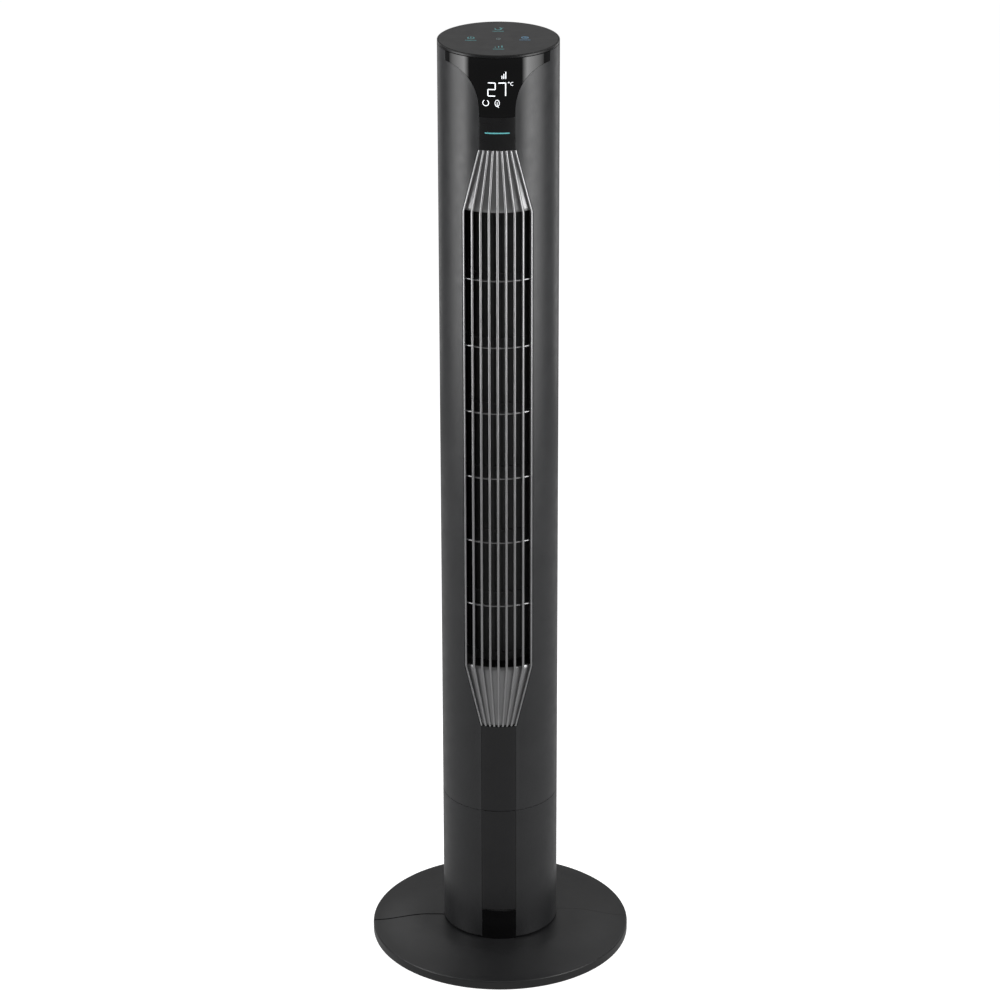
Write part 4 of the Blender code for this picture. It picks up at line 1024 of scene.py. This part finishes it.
def screw_mesh(name, head_radius, head_height, shank_radius, length):
    """A domed head and its shank, along +Z from the head's outer face."""
    flat = head_radius * 0.45
    dome_height = head_height * 0.6
    profile = [(0, 0), (flat, 0)]
    for angle in spread(0, 90, 6)[1:]:
        turn = math.radians(angle)
        radius = head_radius - flat * (1 - math.sin(turn))
        profile.append((radius, dome_height * (1 - math.cos(turn))))
    profile += [(head_radius, head_height), (shank_radius, head_height)]
    profile += [(shank_radius, length), (0, length)]
    return turned_mesh(name, profile, 32)


def cross_cutters(turn, size):
    """Two thin crossed blocks that cut the recess of a screw head."""
    half_length = size * 0.55
    half_width = size * 0.16
    depth = size * 0.32
    cutters = []
    for angle in (0, 90):
        low = Vector((-half_length, -half_width, -size * 0.5))
        high = Vector((half_length, half_width, depth))
        block = lattice_mesh("cross", (1, 1, 1), lambda i, j, k: True,
                             lambda i, j, k: Vector(((low, high)[i].x, (low, high)[j].y, (low, high)[k].z)))
        block.transform(turn @ Matrix.Rotation(math.radians(angle), 4, "Z"))
        cutters.append(block)
    return cutters


def add_screw(name, node, body, turn, sizes, materials):
    """A steel screw with a cross recess; the sizes are those that screw_mesh takes."""
    mesh = screw_mesh(name, *sizes)
    mesh.transform(turn)
    screw = add_piece(name, mesh, materials["steel"], body, (node,))
    for cutter in cross_cutters(turn, sizes[0]):
        cut_holes(screw, [cutter])


def make_screws(materials):
    for number in range(1, 7):
        node = "shell_screw_%d" % number
        sizes = (3.3 * MM, 1.3 * MM, 1.5 * MM, 6.2 * MM)
        add_screw("screw_shell_%d" % number, node, "tower", shell_screw_pose(node), sizes, materials)
    for number in range(1, 5):
        node = "base_screw_%d" % number
        low = low_of(node).z
        turn = Matrix.Translation((middle_of(node).x, middle_of(node).y, low))
        sizes = (4 * MM, 2.6 * MM, 1.9 * MM, high_of(node).z - low)
        add_screw("screw_base_%d" % number, node, "stand", turn, sizes, materials)


# ---- impeller

def make_impeller(materials):
    """A cross-flow impeller: seven rows of thin curved blades between rings. The lower end disc
    is thick, and hides the gap over the motor plate."""
    low = low_of("impeller").z
    high = high_of("impeller").z
    outer = 42 * MM
    inner = 34 * MM
    blades = 34
    rows_of_blades = 7
    ring_height = 2.0 * MM
    end_disc = 8 * MM
    segment = (high - low) / rows_of_blades
    heights = [low - end_disc, low + ring_height]
    for number in range(1, rows_of_blades):
        middle = low + number * segment
        heights += [middle - ring_height / 2, middle + ring_height / 2]
    heights += [high - ring_height, high]
    rows = len(heights) - 1
    pitch = 360 / blades
    blade_share = 0.12
    lean = [0, 0, 6, 14, 24]
    lower_hub = 12 * MM
    upper_hub = 4.3 * MM

    def filled(i, j, k):
        if k == 0:
            return j in (0, rows - 1)
        return j % 2 == 0 or i % 2 == 0

    def place(i, j, k):
        hub = lower_hub if j < rows / 2 else upper_hub
        radius = hub if k == 0 else inner + (outer - inner) * (k - 1) / 3
        angle = (i // 2) * pitch + (i % 2) * blade_share * pitch + lean[k]
        return around(angle, radius, heights[j])

    mesh = lattice_mesh("impeller_wheel", (2 * blades, rows, 4), filled, place, ring=True)
    mesh.transform(Matrix.Translation((0, IMPELLER_Y, 0)))
    add_piece("impeller_wheel", mesh, materials["inner_plastic"], "impeller",
              ("impeller",))


# ---- carried-over solids

def dress_solids(materials):
    """Each solid that stays gets the procedural material of its own slot."""
    slots = {entry["node"]: entry["material_slot"] for entry in frame["record"]["subparts"]}
    for name, node in frame["nodes"].items():
        material = materials[slots[name]]
        node.data.materials.clear()
        node.data.materials.append(material)


# ---- stage

def stage_disc(name, radius, z, colour, glow):
    """A flat round piece of the studio floor."""
    builder = bmesh.new()
    bmesh.ops.create_circle(builder, cap_ends=True, segments=96, radius=radius)
    mesh = bpy.data.meshes.new(name)
    builder.to_mesh(mesh)
    builder.free()
    disc = new_object(name, mesh)
    disc.location.z = z
    material, *_, shader = new_material(name)
    shader.inputs["Base Color"].default_value = (colour, colour, colour, 1)
    shader.inputs["Roughness"].default_value = 0.9
    shader.inputs["Specular IOR Level"].default_value = 0.1
    shader.inputs["Emission Color"].default_value = (1, 1, 1, 1)
    shader.inputs["Emission Strength"].default_value = glow
    mesh.materials.append(material)
    return disc


def make_stage():
    """A pale floor without an edge in view, and the smaller bright part of it that the
    object reflects."""
    floor = stage_disc("floor", 30, 0, 0.70, 0.86)
    floor.visible_glossy = False
    floor.visible_diffuse = False
    near = stage_disc("floor_near", 1.5, -1 * MM, 0.10, 0.40)
    near.visible_camera = False
    near.visible_shadow = False


# ---- light and camera

def add_softbox(name, azimuth, width, bottom, top, radiance, falloff=0.0, distance=1.0):
    """An upright area light that faces the tower; azimuth is from the front, towards +X.
    With a falloff it fades across its width, away from the front, and its front edge is soft."""
    soft_share = 0.28
    light = bpy.data.lights.new(name, "AREA")
    light.shape = "RECTANGLE"
    light.size = width
    light.size_y = top - bottom
    light.energy = radiance * math.pi * width * (top - bottom)
    lamp = new_object(name, light)
    middle = (top + bottom) / 2
    lamp.location = around(azimuth, distance, middle)
    facing = Vector((0, 0, middle)) - lamp.location
    lamp.rotation_euler = facing.to_track_quat("-Z", "Y").to_euler()
    lamp.visible_camera = False
    if not falloff:
        return
    light.use_nodes = True
    nodes = light.node_tree.nodes
    links = light.node_tree.links
    place = nodes.new("ShaderNodeNewGeometry")
    parts = nodes.new("ShaderNodeSeparateXYZ")
    links.new(place.outputs["Parametric"], parts.inputs[0])
    inner, outer = (0, 1) if azimuth > 0 else (1, 0)
    fade = remap(nodes, links, parts.outputs["X"], 1 + falloff, 1 - falloff, inner, outer)
    soft_end = inner + (outer - inner) * soft_share
    soft_edge = remap(nodes, links, parts.outputs["X"], 0, 1 + falloff, inner, soft_end)
    lowest = nodes.new("ShaderNodeMath")
    lowest.operation = "MINIMUM"
    links.new(fade, lowest.inputs[0])
    links.new(soft_edge, lowest.inputs[1])
    links.new(lowest.outputs[0], nodes["Emission"].inputs["Strength"])


def make_world():
    """White behind the object, and a dimmer even studio round it."""
    world = bpy.data.worlds.new("studio")
    world.use_nodes = True
    nodes = world.node_tree.nodes
    links = world.node_tree.links
    studio = nodes["Background"]
    studio.inputs["Strength"].default_value = 0.14
    white = nodes.new("ShaderNodeBackground")
    white.inputs["Color"].default_value = (1, 1, 1, 1)
    studio.inputs["Color"].default_value = (1, 1, 1, 1)
    path = nodes.new("ShaderNodeLightPath")
    mix = nodes.new("ShaderNodeMixShader")
    links.new(path.outputs["Is Camera Ray"], mix.inputs[0])
    links.new(studio.outputs[0], mix.inputs[1])
    links.new(white.outputs[0], mix.inputs[2])
    links.new(mix.outputs[0], nodes["World Output"].inputs["Surface"])
    bpy.context.scene.world = world


def make_light():
    make_world()
    sun = bpy.data.lights.new("overhead", "SUN")
    sun.energy = 0.25
    sun.angle = math.radians(70)
    lamp = new_object("overhead", sun)
    lamp.rotation_euler = (math.radians(8), 0, 0)
    add_softbox("softbox_left", CAMERA_TURN - 79, 0.86, 0.34, 1.5, 3.8, 0.90)
    add_softbox("softbox_right", CAMERA_TURN + 68, 0.90, 0.34, 1.5, 4.1, 0.88)
    add_softbox("backdrop", CAMERA_TURN + 180, 5.0, 0.9, 3.2, 0.32, distance=2.5)
    add_softbox("rim_left", CAMERA_TURN - 150, 0.35, 0.3, 1.5, 0.5)
    add_softbox("rim_right", CAMERA_TURN + 140, 0.35, 0.3, 1.5, 0.8)


def make_camera():
    data = bpy.data.cameras.new("camera")
    data.sensor_width = 36
    data.lens = CAMERA_LENS
    data.clip_end = 100
    camera = new_object("camera", data)
    turn = Matrix.Rotation(math.radians(CAMERA_TURN), 4, "Z")
    camera.location = turn @ Vector((CAMERA_SIDE, -CAMERA_DISTANCE, CAMERA_HEIGHT))
    pitch = Matrix.Rotation(math.radians(90 - CAMERA_PITCH), 4, "X")
    roll = Matrix.Rotation(math.radians(CAMERA_ROLL), 4, "Z")
    camera.rotation_euler = (turn @ pitch @ roll).to_euler()
    bpy.context.scene.camera = camera


def main():
    materials = make_materials()
    dress_solids(materials)
    make_front_shell(materials)
    make_rear_shell(materials)
    make_rear_grille(materials)
    make_front_grille(materials)
    make_inlays(materials)
    make_lens(materials)
    make_top(materials)
    make_column(materials)
    make_base(materials)
    make_pads(materials)
    make_screws(materials)
    make_impeller(materials)
    make_display(materials)
    make_touch_symbols(materials)
    make_stage()
    make_light()
    make_camera()
    bpy.context.scene.view_settings.view_transform = "Standard"


main()
